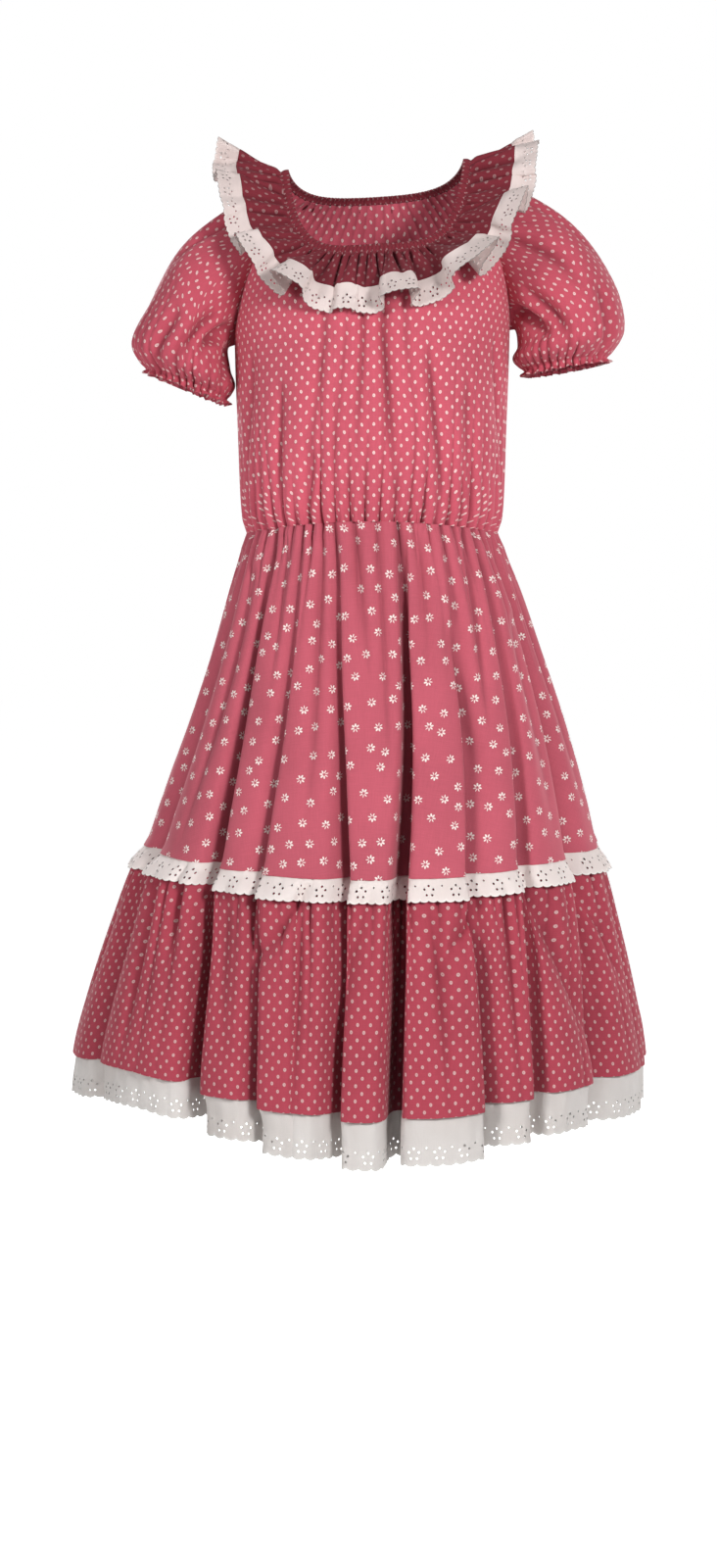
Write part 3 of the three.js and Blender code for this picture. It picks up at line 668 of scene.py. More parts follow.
def armhole(side, turn):
    """The sleeve's upper edge: up one raglan seam, along the neckline and down the other seam."""
    first, second = ("front", "back") if side > 0 else ("back", "front")
    up = bodice(first, 1 + 0 * turn, 1 - np.clip(turn / RAGLAN_SHARE, 0, 1))
    down = bodice(second, -1 + 0 * turn, 1 - np.clip((1 - turn) / RAGLAN_SHARE, 0, 1))
    start = RAGLAN["front"] if side > 0 else 180 + RAGLAN["back"]
    share = np.clip((turn - RAGLAN_SHARE) / (1 - 2 * RAGLAN_SHARE), 0, 1)
    neck_angle = start + share * (180 - RAGLAN["front"] - RAGLAN["back"])
    pulled = gathers(NECK_GATHERS, share * SLEEVE_NECK_GATHERS, 0 * turn, SLEEVE_LUCK)
    pulled = pulled * np.sin(np.pi * share) ** NECK_GATHERS_FADE
    neck = tilted(under_casing(neck_angle, pulled))
    point = np.where((turn <= RAGLAN_SHARE)[..., None], up, neck)
    return np.where((turn >= 1 - RAGLAN_SHARE)[..., None], down, point)


def sleeve(name, turn, along):
    turn, along = np.broadcast_arrays(np.asarray(turn, float), np.asarray(along, float))
    part = SLEEVES[name]
    side, rows = part["side"], part["sections"]
    edge = armhole(side, turn)
    round_angle = 2 * np.pi * turn
    loops = []
    for at, across, down, half, deep, tilt in zip(*rows.values()):
        reach = half * np.cos(round_angle)
        x = side * (across - reach * math.cos(math.radians(tilt)))
        z = -down - reach * math.sin(math.radians(tilt))
        loops.append(np.stack([x, -side * deep * np.sin(round_angle), z], axis=-1))
    at = np.concatenate([[0], rows["along"]])
    stack = np.stack([edge, *loops])
    slope = slopes(at, stack)
    i = np.clip(np.searchsorted(at, along) - 1, 0, len(at) - 2)
    span = (at[i + 1] - at[i])[..., None]
    t = np.clip((along - at[i])[..., None] / span, 0, 1)

    def row(values, number):
        return np.take_along_axis(values, number[None, ..., None], axis=0)[0]

    leave, arrive = row(slope, i) * span, row(slope, i + 1) * span
    return hermite(row(stack, i), leave, row(stack, i + 1), arrive, t)


def sleeve_relief(name, turn, along):
    """How far the sleeve's cloth stands out from its smooth form, with its gathers and creases."""
    part = SLEEVES[name]
    above = (1 - along) * SLEEVE_LENGTH
    out = PUFF["out"] * bell(above, PUFF["at"], PUFF["wide"])
    out = out - ELASTIC["deep"] * bell(above, ELASTIC["at"], ELASTIC["wide"])
    out = out - gathers(CUFF_GATHERS, turn, above, part["luck"])
    for top_turn, foot_turn, top, foot, deep, wide in zip(*part["creases"].values()):
        share = np.clip((along - top) / (foot - top), 0, 1)
        away = np.mod(turn - mix(top_turn, foot_turn, share) + 0.5, 1) - 0.5
        strength = SLEEVE_CREASE["strength"] * np.sin(np.pi * share ** SLEEVE_CREASE["fade"])
        out = out - strength * deep * bell(away * CUFF_GIRTH, 0, wide)
    edge = CUFF_FRILL["out"] * (1 - smooth(above, *CUFF_FRILL["above"]))
    out = out + edge * np.sin(2 * np.pi * turn * CUFF_FRILL["waves"])
    return out * smooth(along, 0, SLEEVE_TOP)


# %% [markdown]
# The ruffle is a long strip gathered to the casing, and its free edge waves. Each wave has a valley,
# a height and a roll: the roll carries the ridge over its valleys, so that it curls as cloth does.

# %% The ruffle
RUFFLE_WAVES = table(
    "at high roll",
    (-84, 15, 2.4),
    (-59, 19, 3.4),
    (-41, 26, 3.6),
    (-22, 6, 1.6),
    (-4, 20, 3.4),
    (21, 31, 4.2),
    (48, 20, 3.8),
    (68, 5, 2.4),
    (92, 14, 2.6),
    (118, 16, 3.5),
    (143, 20, 3.6),
    (168, 15, 3.6),
    (194, 21, 3.6),
    (220, 15, 3.8),
    (247, 17, 3.8),
)
RUFFLE_RISE = table(
    "at rise",
    (0, -57),
    (30, -46),
    (60, -11),
    (90, 12),
    (120, -6),
    (150, -34),
    (180, -44),
)
RUFFLE_GATHERS = table(GATHER_COLUMNS, (112, 5, 24, 112, 36), (72, 13, 50, 72, 54))
GATHERS_OUT = 4
GATHERS_START = (-0.02, 0.15)
GATHERS_END = (0.9, 1.3)
GATHERS_LEFT = 0.25
OPENING = 1.2
MEANDER = {"far": 0.035, "most": 1.2}
FIRST_WAVE = RUFFLE_WAVES["at"][0]


def ruffle_frame(angle):
    """The ways out along the ruffle, up from it and straight off its cloth, at an angle."""
    turn = np.radians(angle)
    rise = np.radians(read(RUFFLE_RISE, "at", "rise", np.abs(np.mod(angle + 180, 360) - 180)))
    across = np.stack([np.sin(turn), -np.cos(turn), 0 * turn], axis=-1)
    up = -across * np.sin(rise)[..., None]
    up[..., 2] = np.cos(rise)
    out = across * np.cos(rise)[..., None]
    out[..., 2] = np.sin(rise)
    return out, up, unit(np.cross(out, neck_edge(angle + 1) - neck_edge(angle - 1)))


def ruffle(angle, share):
    """The ruffle and its lace, out from the casing: an angle and a share of the cloth's width."""
    angle, share = np.broadcast_arrays(np.asarray(angle, float), np.asarray(share, float))
    turned = np.mod(angle - FIRST_WAVE, 360) + FIRST_WAVE
    number = np.clip(np.searchsorted(RUFFLE_WAVES["at"], turned, side="right") - 1, 0, None)
    ends = np.append(RUFFLE_WAVES["at"][1:], FIRST_WAVE + 360)
    wide = ends[number] - RUFFLE_WAVES["at"][number]
    t = (turned - RUFFLE_WAVES["at"][number]) / wide
    open_share = np.maximum(share, 0) ** OPENING
    meander = MEANDER["far"] * RUFFLE_WAVES["roll"][number] * wide
    meander = meander * np.minimum(open_share, MEANDER["most"])
    rolled = angle + meander * np.sin(4 * np.pi * t)
    edge, down, off = neck_frame(rolled)
    out, up, off_ruffle = ruffle_frame(rolled)
    away = np.maximum(share, 0) * RUFFLE_WIDTH
    pulled = gathers(RUFFLE_GATHERS, angle / 360, away) - GATHERS_OUT
    pulled = pulled * smooth(share, *GATHERS_START)
    pulled = pulled * mix(1, GATHERS_LEFT, smooth(share, *GATHERS_END))
    high = RUFFLE_WAVES["high"][number] * open_share * wave(t)
    edge = edge + down * (CASING_WIDTH + SEAM_GAP) + off * UNDER_CASING
    waved = out * (share * RUFFLE_WIDTH)[..., None] + up * high[..., None]
    return tilted(edge + waved - off_ruffle * pulled[..., None])


# %% [markdown]
# Each piece of cloth starts as Blender's flat grid, as a cut piece does. Its points are then laid on
# the form, row by row and column by column. The columns are spaced evenly along the cloth itself,
# so steep folds get as many points as open ones. Each point also learns how deep it lies in a fold,
# because the finishes paint shade down there. Solidify gives the cloth its thickness.

# %% Lay a flat grid of cloth on its form
CLOTH = 0.7 * MM
LACE = 0.55 * MM
FINE_STEPS = 6000
FOLD_WINDOWS = (22, 90)
FOLD_SHADE_DEPTH = 0.2
CLOSE = 0.02 * MM
SMOOTH_ANGLE = 62


def lengths(points, axis):
    """Running length of the cloth along its rows or columns, from 0."""
    steps = np.linalg.norm(np.diff(points, axis=axis), axis=-1)
    start = np.zeros_like(np.take(steps, [0], axis=axis))
    return np.concatenate([start, np.cumsum(steps, axis=axis)], axis=axis)


def spans(*parts):
    """Levels of a piece's rows, evenly spaced in parts that have a start, an end and steps."""
    rows = [np.linspace(start, end, steps + 1)[:-1] for start, end, steps in parts]
    return np.append(np.concatenate(rows), parts[-1][1])


def even_places(form, level, start, end, count):
    """Places from start to end that are evenly spaced along one level of a form."""
    fine = np.linspace(start, end, FINE_STEPS)
    run = lengths(form(fine, level + 0 * fine), 0)
    return np.interp(np.linspace(0, run[-1], count + 1), run, fine)


def form_grid(form, places, levels):
    """Points of a form, with a row for each level and a column for each place."""
    return form(places[None, :], levels[:, None])


def off_cloth(points, ring):
    """Outward directions of a grid of points whose rows run counterclockwise and downwards."""
    across = np.gradient(points, axis=1)
    if ring:
        across[:, [0, -1]] = (points[:, [1]] - points[:, [-2]]) / 2
    return unit(np.cross(np.gradient(points, axis=0), across))


def fold_shade_mask(points, ring, window):
    """0 where the cloth lies level with the cloth around it, up to 1 down in its folds."""
    steps = np.linalg.norm(np.diff(points, axis=1), axis=-1).mean()
    half = max(1, round(window / 2 / steps))
    wide = np.pad(points, ((0, 0), (half, half), (0, 0)), mode="wrap" if ring else "edge")
    total = np.cumsum(wide, axis=1)
    level = (total[:, 2 * half :] - total[:, : -2 * half]) / (2 * half)
    dent = ((level - points) * off_cloth(level, ring)).sum(axis=-1)
    return 1 - np.exp(-np.maximum(dent, 0) / (FOLD_SHADE_DEPTH * window))


def only(piece):
    bpy.ops.object.select_all(action="DESELECT")
    piece.select_set(True)
    bpy.context.view_layer.objects.active = piece


def close_ring(piece):
    only(piece)
    bpy.ops.object.mode_set(mode="EDIT")
    bpy.ops.mesh.select_all(action="SELECT")
    bpy.ops.mesh.remove_doubles(threshold=CLOSE)
    bpy.ops.object.mode_set(mode="OBJECT")


def thicken(piece, thickness):
    only(piece)
    bpy.ops.object.modifier_add(type="SOLIDIFY")
    solid = piece.modifiers[-1]
    solid.thickness = thickness
    solid.offset = 0
    bpy.ops.object.modifier_apply(modifier=solid.name)
    bpy.ops.object.shade_smooth_by_angle(angle=math.radians(SMOOTH_ANGLE))


def get_points(mesh):
    place = np.empty(len(mesh.vertices) * 3, dtype=np.float32)
    mesh.vertices.foreach_get("co", place)
    return place.reshape(-1, 3)


def set_points(mesh, points):
    """Move the mesh's points to places in millimetres."""
    mesh.vertices.foreach_set("co", (points * MM).astype(np.float32).ravel())


def set_cut(mesh, flat):
    """Give the UV map the points' places on the flat cut, in millimetres."""
    corner = np.empty(len(mesh.loops), dtype=np.int32)
    mesh.loops.foreach_get("vertex_index", corner)
    mesh.uv_layers.active.data.foreach_set("uv", (flat[corner] * MM).astype(np.float32).ravel())


def set_share(mesh, name, values):
    """Give each point a number that its finish reads by name."""
    share = mesh.attributes.new(name, "FLOAT", "POINT")
    share.data.foreach_set("value", values.astype(np.float32))


def finish_cloth(piece, thickness, ring):
    piece.data.update()
    if ring:
        close_ring(piece)
    thicken(piece, thickness)
    triangles = sum(len(face.vertices) - 2 for face in piece.data.polygons)
    print(piece.name, "has", triangles, "triangles")


def lay_cloth(name, points, flat, ring=False, thickness=CLOTH):
    """A piece of cloth from a grid of points in millimetres, with its flat cut as its UV map."""
    rows, columns = points.shape[0] - 1, points.shape[1] - 1
    bpy.ops.object.select_all(action="DESELECT")
    bpy.ops.mesh.primitive_grid_add(x_subdivisions=columns, y_subdivisions=rows, size=1)
    piece = bpy.context.object
    piece.name = name
    mesh = piece.data
    mesh.name = name
    place = get_points(mesh)
    column = np.rint((place[:, 0] + 0.5) * columns).astype(int)
    row = np.rint((0.5 - place[:, 1]) * rows).astype(int)
    set_points(mesh, points[row, column])
    set_cut(mesh, flat[row, column])
    # How deep each point lies in a fold: the mask for the finishes' painted shade in the folds.
    sunk = np.max([fold_shade_mask(points, ring, window) for window in FOLD_WINDOWS], axis=0)
    set_share(mesh, "fold_shade_mask", sunk[row, column])
    finish_cloth(piece, thickness, ring)
    return piece


# %% [markdown]
# The prints follow the cloth, so each piece needs the place of its points on the flat cut. A strip
# keeps its columns straight. The flared skirt is cut as part of a circle. The bodice's rows are
# measured from its centre, because its cloth is cut wide and shaped by its seams.

# %% Flat cuts for the prints
def strip_cut(points, reference_row, down=None):
    """Columns at their distance along one row, and rows at their distance up from the last."""
    across = lengths(points, 1)[reference_row]
    run = lengths(points, 0)
    up = (run[-1] - run) if down is None else -down[:, None] + 0 * run
    return np.stack(np.broadcast_arrays(across[None, :], up), axis=-1)


def flared_cut(points, top_radius):
    """Part of a circle: the rows are arcs round its centre."""
    run = lengths(points, 1)
    along = lengths(points, 0).mean(axis=1, keepdims=True)
    radius = top_radius + along
    turn = (run - run[:, -1:] / 2) / radius
    return np.stack([radius * np.sin(turn), -radius * np.cos(turn)], axis=-1)


def shaped_cut(points):
    """Rows measured from the middle column, and columns measured up from the last row."""
    run = lengths(points, 1)
    across = run - run[:, [points.shape[1] // 2]]
    up = lengths(points[..., 1:], 0)
    return np.stack([across, up[-1] - up], axis=-1)


# %% [markdown]
# First the skirt. Its two halves are cut flared, gathered at the waist, and sewn at the sides. Rows
# lie closer together near the waist, where the gathers change quickly.

# %% Make the skirt
SKIRT_ROWS = np.append(spans((0, 0.16, 17), (0.16, 0.96, 35)), [0.975, 0.988, 1])
SKIRT_SPACED_AT = 0.75
SKIRT_COLUMNS_A_FOLD = 50


def make_skirt(name, start, end):
    columns = int((end - start) * SKIRT_COLUMNS_A_FOLD)
    places = even_places(skirt, SKIRT_SPACED_AT, start, end, columns)
    points = form_grid(skirt, places, SKIRT_ROWS)
    drop = lengths(points, 0)[-1].mean()
    hem, waist = lengths(points, 1)[[-1, 0], -1]
    top_radius = drop * waist / (hem - waist)
    piece = lay_cloth(name, points, flared_cut(points, top_radius))
    area = (hem + waist) / 2 * drop * MM * MM
    print(name, "waist", round(waist), "mm, lower edge", round(hem), "mm, length", round(drop), "mm")
    return piece, (hem * MM, drop * MM), area


skirt_pieces = {
    "skirt_front": make_skirt("skirt_front_cloth", 0, FRONT_FOLDS),
    "skirt_back": make_skirt("skirt_back_cloth", FRONT_FOLDS, FOLD_COUNT),
}

# %% [markdown]
# The tier is four straight strips, sewn end to end, with a seam at the front right that shows in the
# photo. The strips are gathered to the skirt's lower edge, and lace is sewn under their hem.

# %% Make the tier
TIER_ROWS = spans((1, 1.008, 1), (1.008, 1.3, 19), (1.3, 2, 23))
TIER_SPACED_AT = 1.25
TIER_COLUMNS_A_FOLD = 66


def make_tier(name, start):
    columns = FOLDS_A_STRIP * TIER_COLUMNS_A_FOLD
    places = even_places(tier, TIER_SPACED_AT, start, start + FOLDS_A_STRIP, columns)
    points = form_grid(tier, places, TIER_ROWS)
    down = skirt_down(TIER_ROWS) - SEAM_DOWN
    piece = lay_cloth(name, points, strip_cut(points, -1, down))
    hem = lengths(points, 1)[-1, -1]
    drop = lengths(points, 0)[-1].mean()
    print(name, "hem", round(hem), "mm, drop", round(drop), "mm")
    return piece, (hem * MM, drop * MM)


tier_pieces = {
    f"tier_{side}": make_tier(f"tier_{side}_cloth", start) for side, start in TIER_STRIPS.items()
}

# %% [markdown]
# The bodice is gathered above and below, so its rows lie close at both ends.

# %% Make the bodice
BODICE_ROWS = spans((0, 1, 29), (1, 1.7, 19), (1.7, 2, 21))
BODICE_SPACED_AT = 1.9
BODICE_COLUMNS = {"front": 380, "back": 300}


def make_bodice(face):
    form = partial(bodice, face)
    places = even_places(form, BODICE_SPACED_AT, -1, 1, BODICE_COLUMNS[face])
    points = form_grid(form, places, BODICE_ROWS)
    piece = lay_cloth(f"bodice_{face}_cloth", points, shaped_cut(points))
    return piece, points


bodice_pieces = {f"bodice_{face}": make_bodice(face) for face in FACES}

# %% [markdown]
# A sleeve is one piece of cloth, sewn under the arm. Its upper rows follow the raglan seams, and a
# last few rows beyond the elastic make the small frill at the cuff.

# %% Make the sleeves
SLEEVE_ROWS = spans((0, 0.12, 8), (0.12, 0.72, 27), (0.72, 1, 25))
SLEEVE_WIDEST = 0.6
SLEEVE_COLUMNS = 204


def make_sleeve(name):
    turns = np.linspace(0, 1, SLEEVE_COLUMNS + 1)
    points = form_grid(partial(sleeve, name), turns, SLEEVE_ROWS)
    relief = form_grid(partial(sleeve_relief, name), turns, SLEEVE_ROWS)
    points = points + off_cloth(points, True) * relief[..., None]
    reference = int(np.searchsorted(SLEEVE_ROWS, SLEEVE_WIDEST))
    piece = lay_cloth(f"{name}_cloth", points, strip_cut(points, reference), ring=True)
    return piece, points


sleeve_pieces = {name: make_sleeve(name) for name in SLEEVES}

# %% [markdown]
# The casing and the ruffle go round the whole neck. The casing's cloth is pushed together on its
# elastic, so its print is squeezed: its flat cut is about twice as long as the neckline.

# %% Make the casing and the ruffle
CASING_COLUMNS = 900
CASING_ROWS = spans((0, 1, 6))
CASING_FULLNESS = 2.0
CASING_THICK = 2.2 * MM
RUFFLE_COLUMNS = 1040
RUFFLE_ROWS = spans((0, 0.4, 8), (0.4, 1, 9))
RUFFLE_SPACED_AT = 0.8


def make_casing():
    angles = np.linspace(0, 360, CASING_COLUMNS + 1)
    points = form_grid(casing, angles, CASING_ROWS)
    flat = strip_cut(points, len(CASING_ROWS) // 2) * [CASING_FULLNESS, 1]
    return lay_cloth("neck_casing_cloth", points, flat, ring=True, thickness=CASING_THICK), points


def make_ruffle():
    start, end = FIRST_WAVE, FIRST_WAVE + 360
    angles = even_places(ruffle, RUFFLE_SPACED_AT, start, end, RUFFLE_COLUMNS)
    points = form_grid(ruffle, angles, RUFFLE_ROWS)
    flat = strip_cut(points, -1, RUFFLE_ROWS * RUFFLE_WIDTH)
    return lay_cloth("neck_ruffle_cloth", points, flat, ring=True), points


neck_pieces = {"neck_casing": make_casing(), "neck_ruffle": make_ruffle()}

# %% [markdown]
# Eyelet lace is cotton with small holes cut in groups, like five petals round a centre, and a
# scalloped edge. Every hole is oversewn. Holes this small still show, so they are real: one repeat
# is cut flat with its holes, an Array repeats it, and its points are laid on the lace's form.

# %% Cut one repeat of the lace
HOLES_ROUND = 5
FLOWER_AT = 0.38
SINGLE = {"at": 0.87, "size": 0.75}
LOBE_ROUND = 0.7
LOBE_STEPS = 10
HOLE_SIDES = 9
STITCH_BAND = 0.9
EDGE_BAND = 1.6
CLEAR = {"edge": 3.5, "ends": 0.4, "hole": 2}
HOLE_SLACK = 0.99
SEWN_EDGE = (0.6, 2.0)
SEWN_RIM = (0.2, STITCH_BAND)


def lace_holes(lace):
    """Centre and radius of each hole in one repeat: a ring of five, and a single one beside it."""
    x, y = FLOWER_AT * lace["pitch"], lace["width"] - lace["flower_up"]
    far, hole = lace["flower"], lace["hole"]
    turns = [2 * math.pi * number / HOLES_ROUND for number in range(HOLES_ROUND)]
    ring = [(x + far * math.sin(turn), y - far * math.cos(turn), hole) for turn in turns]
    return [*ring, (SINGLE["at"] * lace["pitch"], y - lace["single_up"], SINGLE["size"] * hole)]


def scalloped(lace, x):
    """Distance down to the lace's edge, in round lobes with sharp notches between them."""
    lobe = np.abs(np.sin(np.pi * lace["scallops"] * x / lace["pitch"]))
    return lace["width"] - lace["scallop"] * (1 - lobe**LOBE_ROUND)


def lace_repeat(lace):
    """Points and triangles of one flat repeat, x along the lace and y down, in millimetres."""
    pitch, points, edges = lace["pitch"], [], []

    def outline(loop):
        first = len(points)
        points.extend(loop)
        edges.extend((first + i, first + (i + 1) % len(loop)) for i in range(len(loop)))

    grain, count = lace["grain"], LOBE_STEPS * lace["scallops"]
    lobes = np.linspace(0, pitch, count + 1)
    foot = [(float(x), float(scalloped(lace, x))) for x in lobes]
    heights = np.linspace(0, foot[0][1], lace["rows"] + 1)[:-1]
    top = [(float(x), 0.0) for x in np.linspace(pitch, 0, max(2, round(pitch / grain)) + 1)[:-1]]
    right = [(pitch, float(y)) for y in heights[:0:-1]]
    left = [(0.0, float(y)) for y in heights]
    outline(left + foot + right + top)
    holes = lace_holes(lace)
    sides = 2 * np.pi * np.arange(HOLE_SIDES) / HOLE_SIDES
    for x, y, radius in holes:
        inner, outer = (
            [(float(x + reach * np.cos(side)), float(y + reach * np.sin(side))) for side in sides]
            for reach in (radius, radius + STITCH_BAND)
        )
        outline(inner)
        points.extend(outer)
    points.extend((x, y - EDGE_BAND) for x, y in foot[1:-1])
    for y in np.arange(grain, lace["width"] - CLEAR["edge"], grain):
        for x in np.arange(grain / 2, pitch - CLEAR["ends"] * grain, grain):
            if all(math.hypot(x - hx, y - hy) > size + CLEAR["hole"] for hx, hy, size in holes):
                points.append((float(x), float(y)))
    result = delaunay_2d_cdt([Vector(point) for point in points], edges, [], 0, 1e-5)
    corners, faces = np.array([tuple(point) for point in result[0]]), np.array(result[2])
    middle = corners[faces].mean(axis=1)
    kept = middle[:, 1] < scalloped(lace, middle[:, 0])
    for x, y, radius in holes:
        inner = radius * math.cos(math.pi / HOLE_SIDES)
        kept &= np.hypot(middle[:, 0] - x, middle[:, 1] - y) > inner * HOLE_SLACK
    return corners, faces[kept]


def stitched(lace, x, y):
    """1 where the lace is oversewn, round its holes and along its edge, and 0 on plain cloth."""
    x = np.mod(x, lace["pitch"])
    near = 1 - smooth(scalloped(lace, x) - y, *SEWN_EDGE)
    for hx, hy, radius in lace_holes(lace):
        near = np.maximum(near, 1 - smooth(np.hypot(x - hx, y - hy) - radius, *SEWN_RIM))
    return near


# %% Repeat the lace and lay it on its form
LACE_MIDDLE = 0.7
LACE_FINE_STEPS = 8000
REPEAT_CLOSE = 0.03 * MM


def lay_lace(name, lace, form, start, end, top, ring=False):
    """Lace along a form from start to end, whose upper edge lies at a distance top."""
    middle = top + LACE_MIDDLE * lace["width"]
    fine = np.linspace(start, end, LACE_FINE_STEPS)
    run = lengths(form(fine, middle + 0 * fine), 0)
    count = round(run[-1] / lace["pitch"])
    corners, faces = lace_repeat(lace)
    bpy.ops.object.select_all(action="DESELECT")
    mesh = bpy.data.meshes.new(name)
    mesh.from_pydata([(x * MM, -y * MM, 0) for x, y in corners], [], faces.tolist())
    mesh.uv_layers.new(name="cut")
    piece = bpy.data.objects.new(name, mesh)
    bpy.context.scene.collection.objects.link(piece)
    only(piece)
    bpy.ops.object.mode_set(mode="EDIT")
    bpy.ops.mesh.select_all(action="SELECT")
    bpy.ops.mesh.normals_make_consistent(inside=False)
    bpy.ops.object.mode_set(mode="OBJECT")
    if mesh.polygons[0].normal.z < 0:
        mesh.flip_normals()
    bpy.ops.object.modifier_add(type="ARRAY")
    repeat = piece.modifiers[-1]
    repeat.count = count
    repeat.use_relative_offset = False
    repeat.use_constant_offset = True
    repeat.constant_offset_displace = (lace["pitch"] * MM, 0, 0)
    repeat.use_merge_vertices = True
    repeat.merge_threshold = REPEAT_CLOSE
    bpy.ops.object.modifier_apply(modifier=repeat.name)
    along, drop = (get_points(mesh)[:, :2] / MM).astype(float).T * [[1], [-1]]
    fold = np.interp(along / (count * lace["pitch"]) * run[-1], run, fine)
    set_points(mesh, form(fold, top + drop))
    set_cut(mesh, np.stack([along, -drop], axis=-1))
    set_share(mesh, "stitch", stitched(lace, along, drop))
    finish_cloth(piece, LACE, ring)
    print(name, "has", count, "repeats")
    return piece, (run[-1] * MM, lace["width"] * MM)


# %% [markdown]
# The same kind of lace edges the dress in three places: a narrow one round the ruffle, one as
# narrow under the skirt's edge, and a wide one along the hem, whose upper half is plain.

# %% Make the lace
NECK_LACE = {
    "pitch": 20, "width": NECK_LACE_WIDTH + 2, "flower_up": 10.5, "flower": 4.3, "hole": 1.1,
    "single_up": 3.5, "scallops": 3, "scallop": 1.4, "rows": 6, "grain": 3.6,
}
TIER_LACE = {
    "pitch": 28, "width": 26, "flower_up": 11.5, "flower": 5.0, "hole": 1.2,
    "single_up": 5, "scallops": 3, "scallop": 1.8, "rows": 6, "grain": 4.2,
}
HEM_LACE = {
    "pitch": 27, "width": HEM_LACE_WIDTH + 2, "flower_up": 13, "flower": 5.6, "hole": 1.25,
    "single_up": 6, "scallops": 2, "scallop": 2.4, "rows": 11, "grain": 4.6,
}
NECK_LACE_GATHERS = table(GATHER_COLUMNS, (108, 4, 30, 108, 70))
NECK_LACE_SWAY = {"out": 3, "many": 60, "luck": 71}
NECK_LACE_DROOP = {"share": 0.3, "front": (-0.2, 0.8)}
NECK_LACE_START = (0, 7)
LACE_TOP = {"sewn_on": 0.3, "sewn_under": -2}


def neck_lace_form(angle, away):
    """The neck lace goes on from the ruffle's edge, droops, and has small gathers of its own."""
    point = ruffle(angle, 1 + away / RUFFLE_WIDTH)
    droop = NECK_LACE_DROOP["share"] * away
    point[..., 2] -= droop * smooth(np.cos(np.radians(angle)), *NECK_LACE_DROOP["front"])
    many = NECK_LACE_SWAY["many"]
    swayed = NECK_LACE_SWAY["out"] * sway(angle * many / 360 + many, many, NECK_LACE_SWAY["luck"])
    pulled = gathers(NECK_LACE_GATHERS, angle / 360, np.maximum(away, 0)) + swayed
    return point - ruffle_frame(angle)[2] * (pulled * smooth(away, *NECK_LACE_START))[..., None]


def make_lace(node, lace, form, start, steps, top):
    """Lace for a node: all round where the form comes round, and else one length."""
    ring = steps in (360, FOLD_COUNT)
    return lay_lace(f"{node}_trim", lace, form, start, start + steps, LACE_TOP[top], ring)


lace_pieces = {
    "neck_lace": make_lace("neck_lace", NECK_LACE, neck_lace_form, FIRST_WAVE, 360, "sewn_on"),
    "tier_lace": make_lace("tier_lace", TIER_LACE, tier_lace, 0, FOLD_COUNT, "sewn_under"),
}
for side, strip in TIER_STRIPS.items():
    node = f"hem_lace_{side}"
    lace_pieces[node] = make_lace(node, HEM_LACE, hem_lace, strip, FOLDS_A_STRIP, "sewn_under")

# %% [markdown]
# Now the finishes. A finish is a tree of nodes that reckon with numbers at each point of the
# surface. A small class lets these be added and multiplied as plain numbers are, so that a print
# reads as the sum that draws it. Each node's sockets are filled by numbers or by other nodes.

# %% Helpers for shader nodes
def add_node(tree, kind, inputs=None, **settings):
    node = tree.nodes.new(kind)
    for name, value in settings.items():
        setattr(node, name, value)
    for name, value in (inputs or {}).items():
        if isinstance(value, Value):
            tree.links.new(value.socket, node.inputs[name])
        else:
            node.inputs[name].default_value = value
    return node


class Value:
    """A number, a place or a colour that changes over the surface: one output of a node."""

    def __init__(self, node, name=0, vector=False):
        self.tree = node.id_data
        self.socket = node.outputs[name]
        self.vector = vector

    def math(self, operation, *others):
        kind = "ShaderNodeVectorMath" if self.vector else "ShaderNodeMath"
        node = add_node(self.tree, kind, dict(enumerate((self, *others))), operation=operation)
        return Value(node, 0, self.vector)

    def __add__(self, other):
        return self.math("ADD", other)

    def __sub__(self, other):
        return self.math("SUBTRACT", other)

    def __mul__(self, other):
        return self.math("MULTIPLY", other)

    def __truediv__(self, other):
        return self.math("DIVIDE", other)

    def parts(self):
        node = add_node(self.tree, "ShaderNodeSeparateXYZ", {0: self})
        return [Value(node, axis) for axis in range(3)]

    def length(self):
        node = add_node(self.tree, "ShaderNodeVectorMath", {0: self}, operation="LENGTH")
        return Value(node, "Value")

    def mask(self, low, high, at_low=0.0, at_high=1.0):
        """Turns softly from one number at low to another at high."""
        inputs = {"Value": self, "From Min": low, "From Max": high, "To Min": at_low, "To Max": at_high}
        return Value(add_node(self.tree, "ShaderNodeMapRange", inputs, interpolation_type="SMOOTHSTEP"))

    def inside(self, low, high):
        return self.mask(low, high, 1.0, 0.0)

    def blend(self, first, second):
        """The first colour where this number is 0, and the second where it is 1."""
        node = add_node(self.tree, "ShaderNodeMix", {0: self, 6: first, 7: second}, data_type="RGBA")
        return Value(node, 2)

    def noise(self, scale, detail=2.0):
        inputs = {"Vector": self, "Scale": scale, "Detail": detail}
        return Value(add_node(self.tree, "ShaderNodeTexNoise", inputs))


def join(x, y, z=0.0):
    return Value(add_node(x.tree, "ShaderNodeCombineXYZ", {0: x, 1: y, 2: z}), 0, True)


def start_group(name, **inputs):
    """A node group that takes a place on the cloth and named numbers, and their values in it."""
    group = bpy.data.node_groups.new(name, "ShaderNodeTree")
    for label, default in {"Vector": (0, 0, 0), **inputs}.items():
        kind = "NodeSocketVector" if isinstance(default, tuple) else "NodeSocketFloat"
        group.interface.new_socket(label, in_out="INPUT", socket_type=kind).default_value = default
    node = group.nodes.new("NodeGroupInput")
    values = [Value(node, "Vector", True)]
    values.extend(Value(node, label, isinstance(default, tuple)) for label, default in inputs.items())
    return values


def end_group(**results):
    """Sends values to outputs of their group, which then is ready."""
    group = next(iter(results.values())).tree
    for label in results:
        group.interface.new_socket(label, in_out="OUTPUT", socket_type="NodeSocketFloat")
    add_node(group, "NodeGroupOutput", results)
    return group


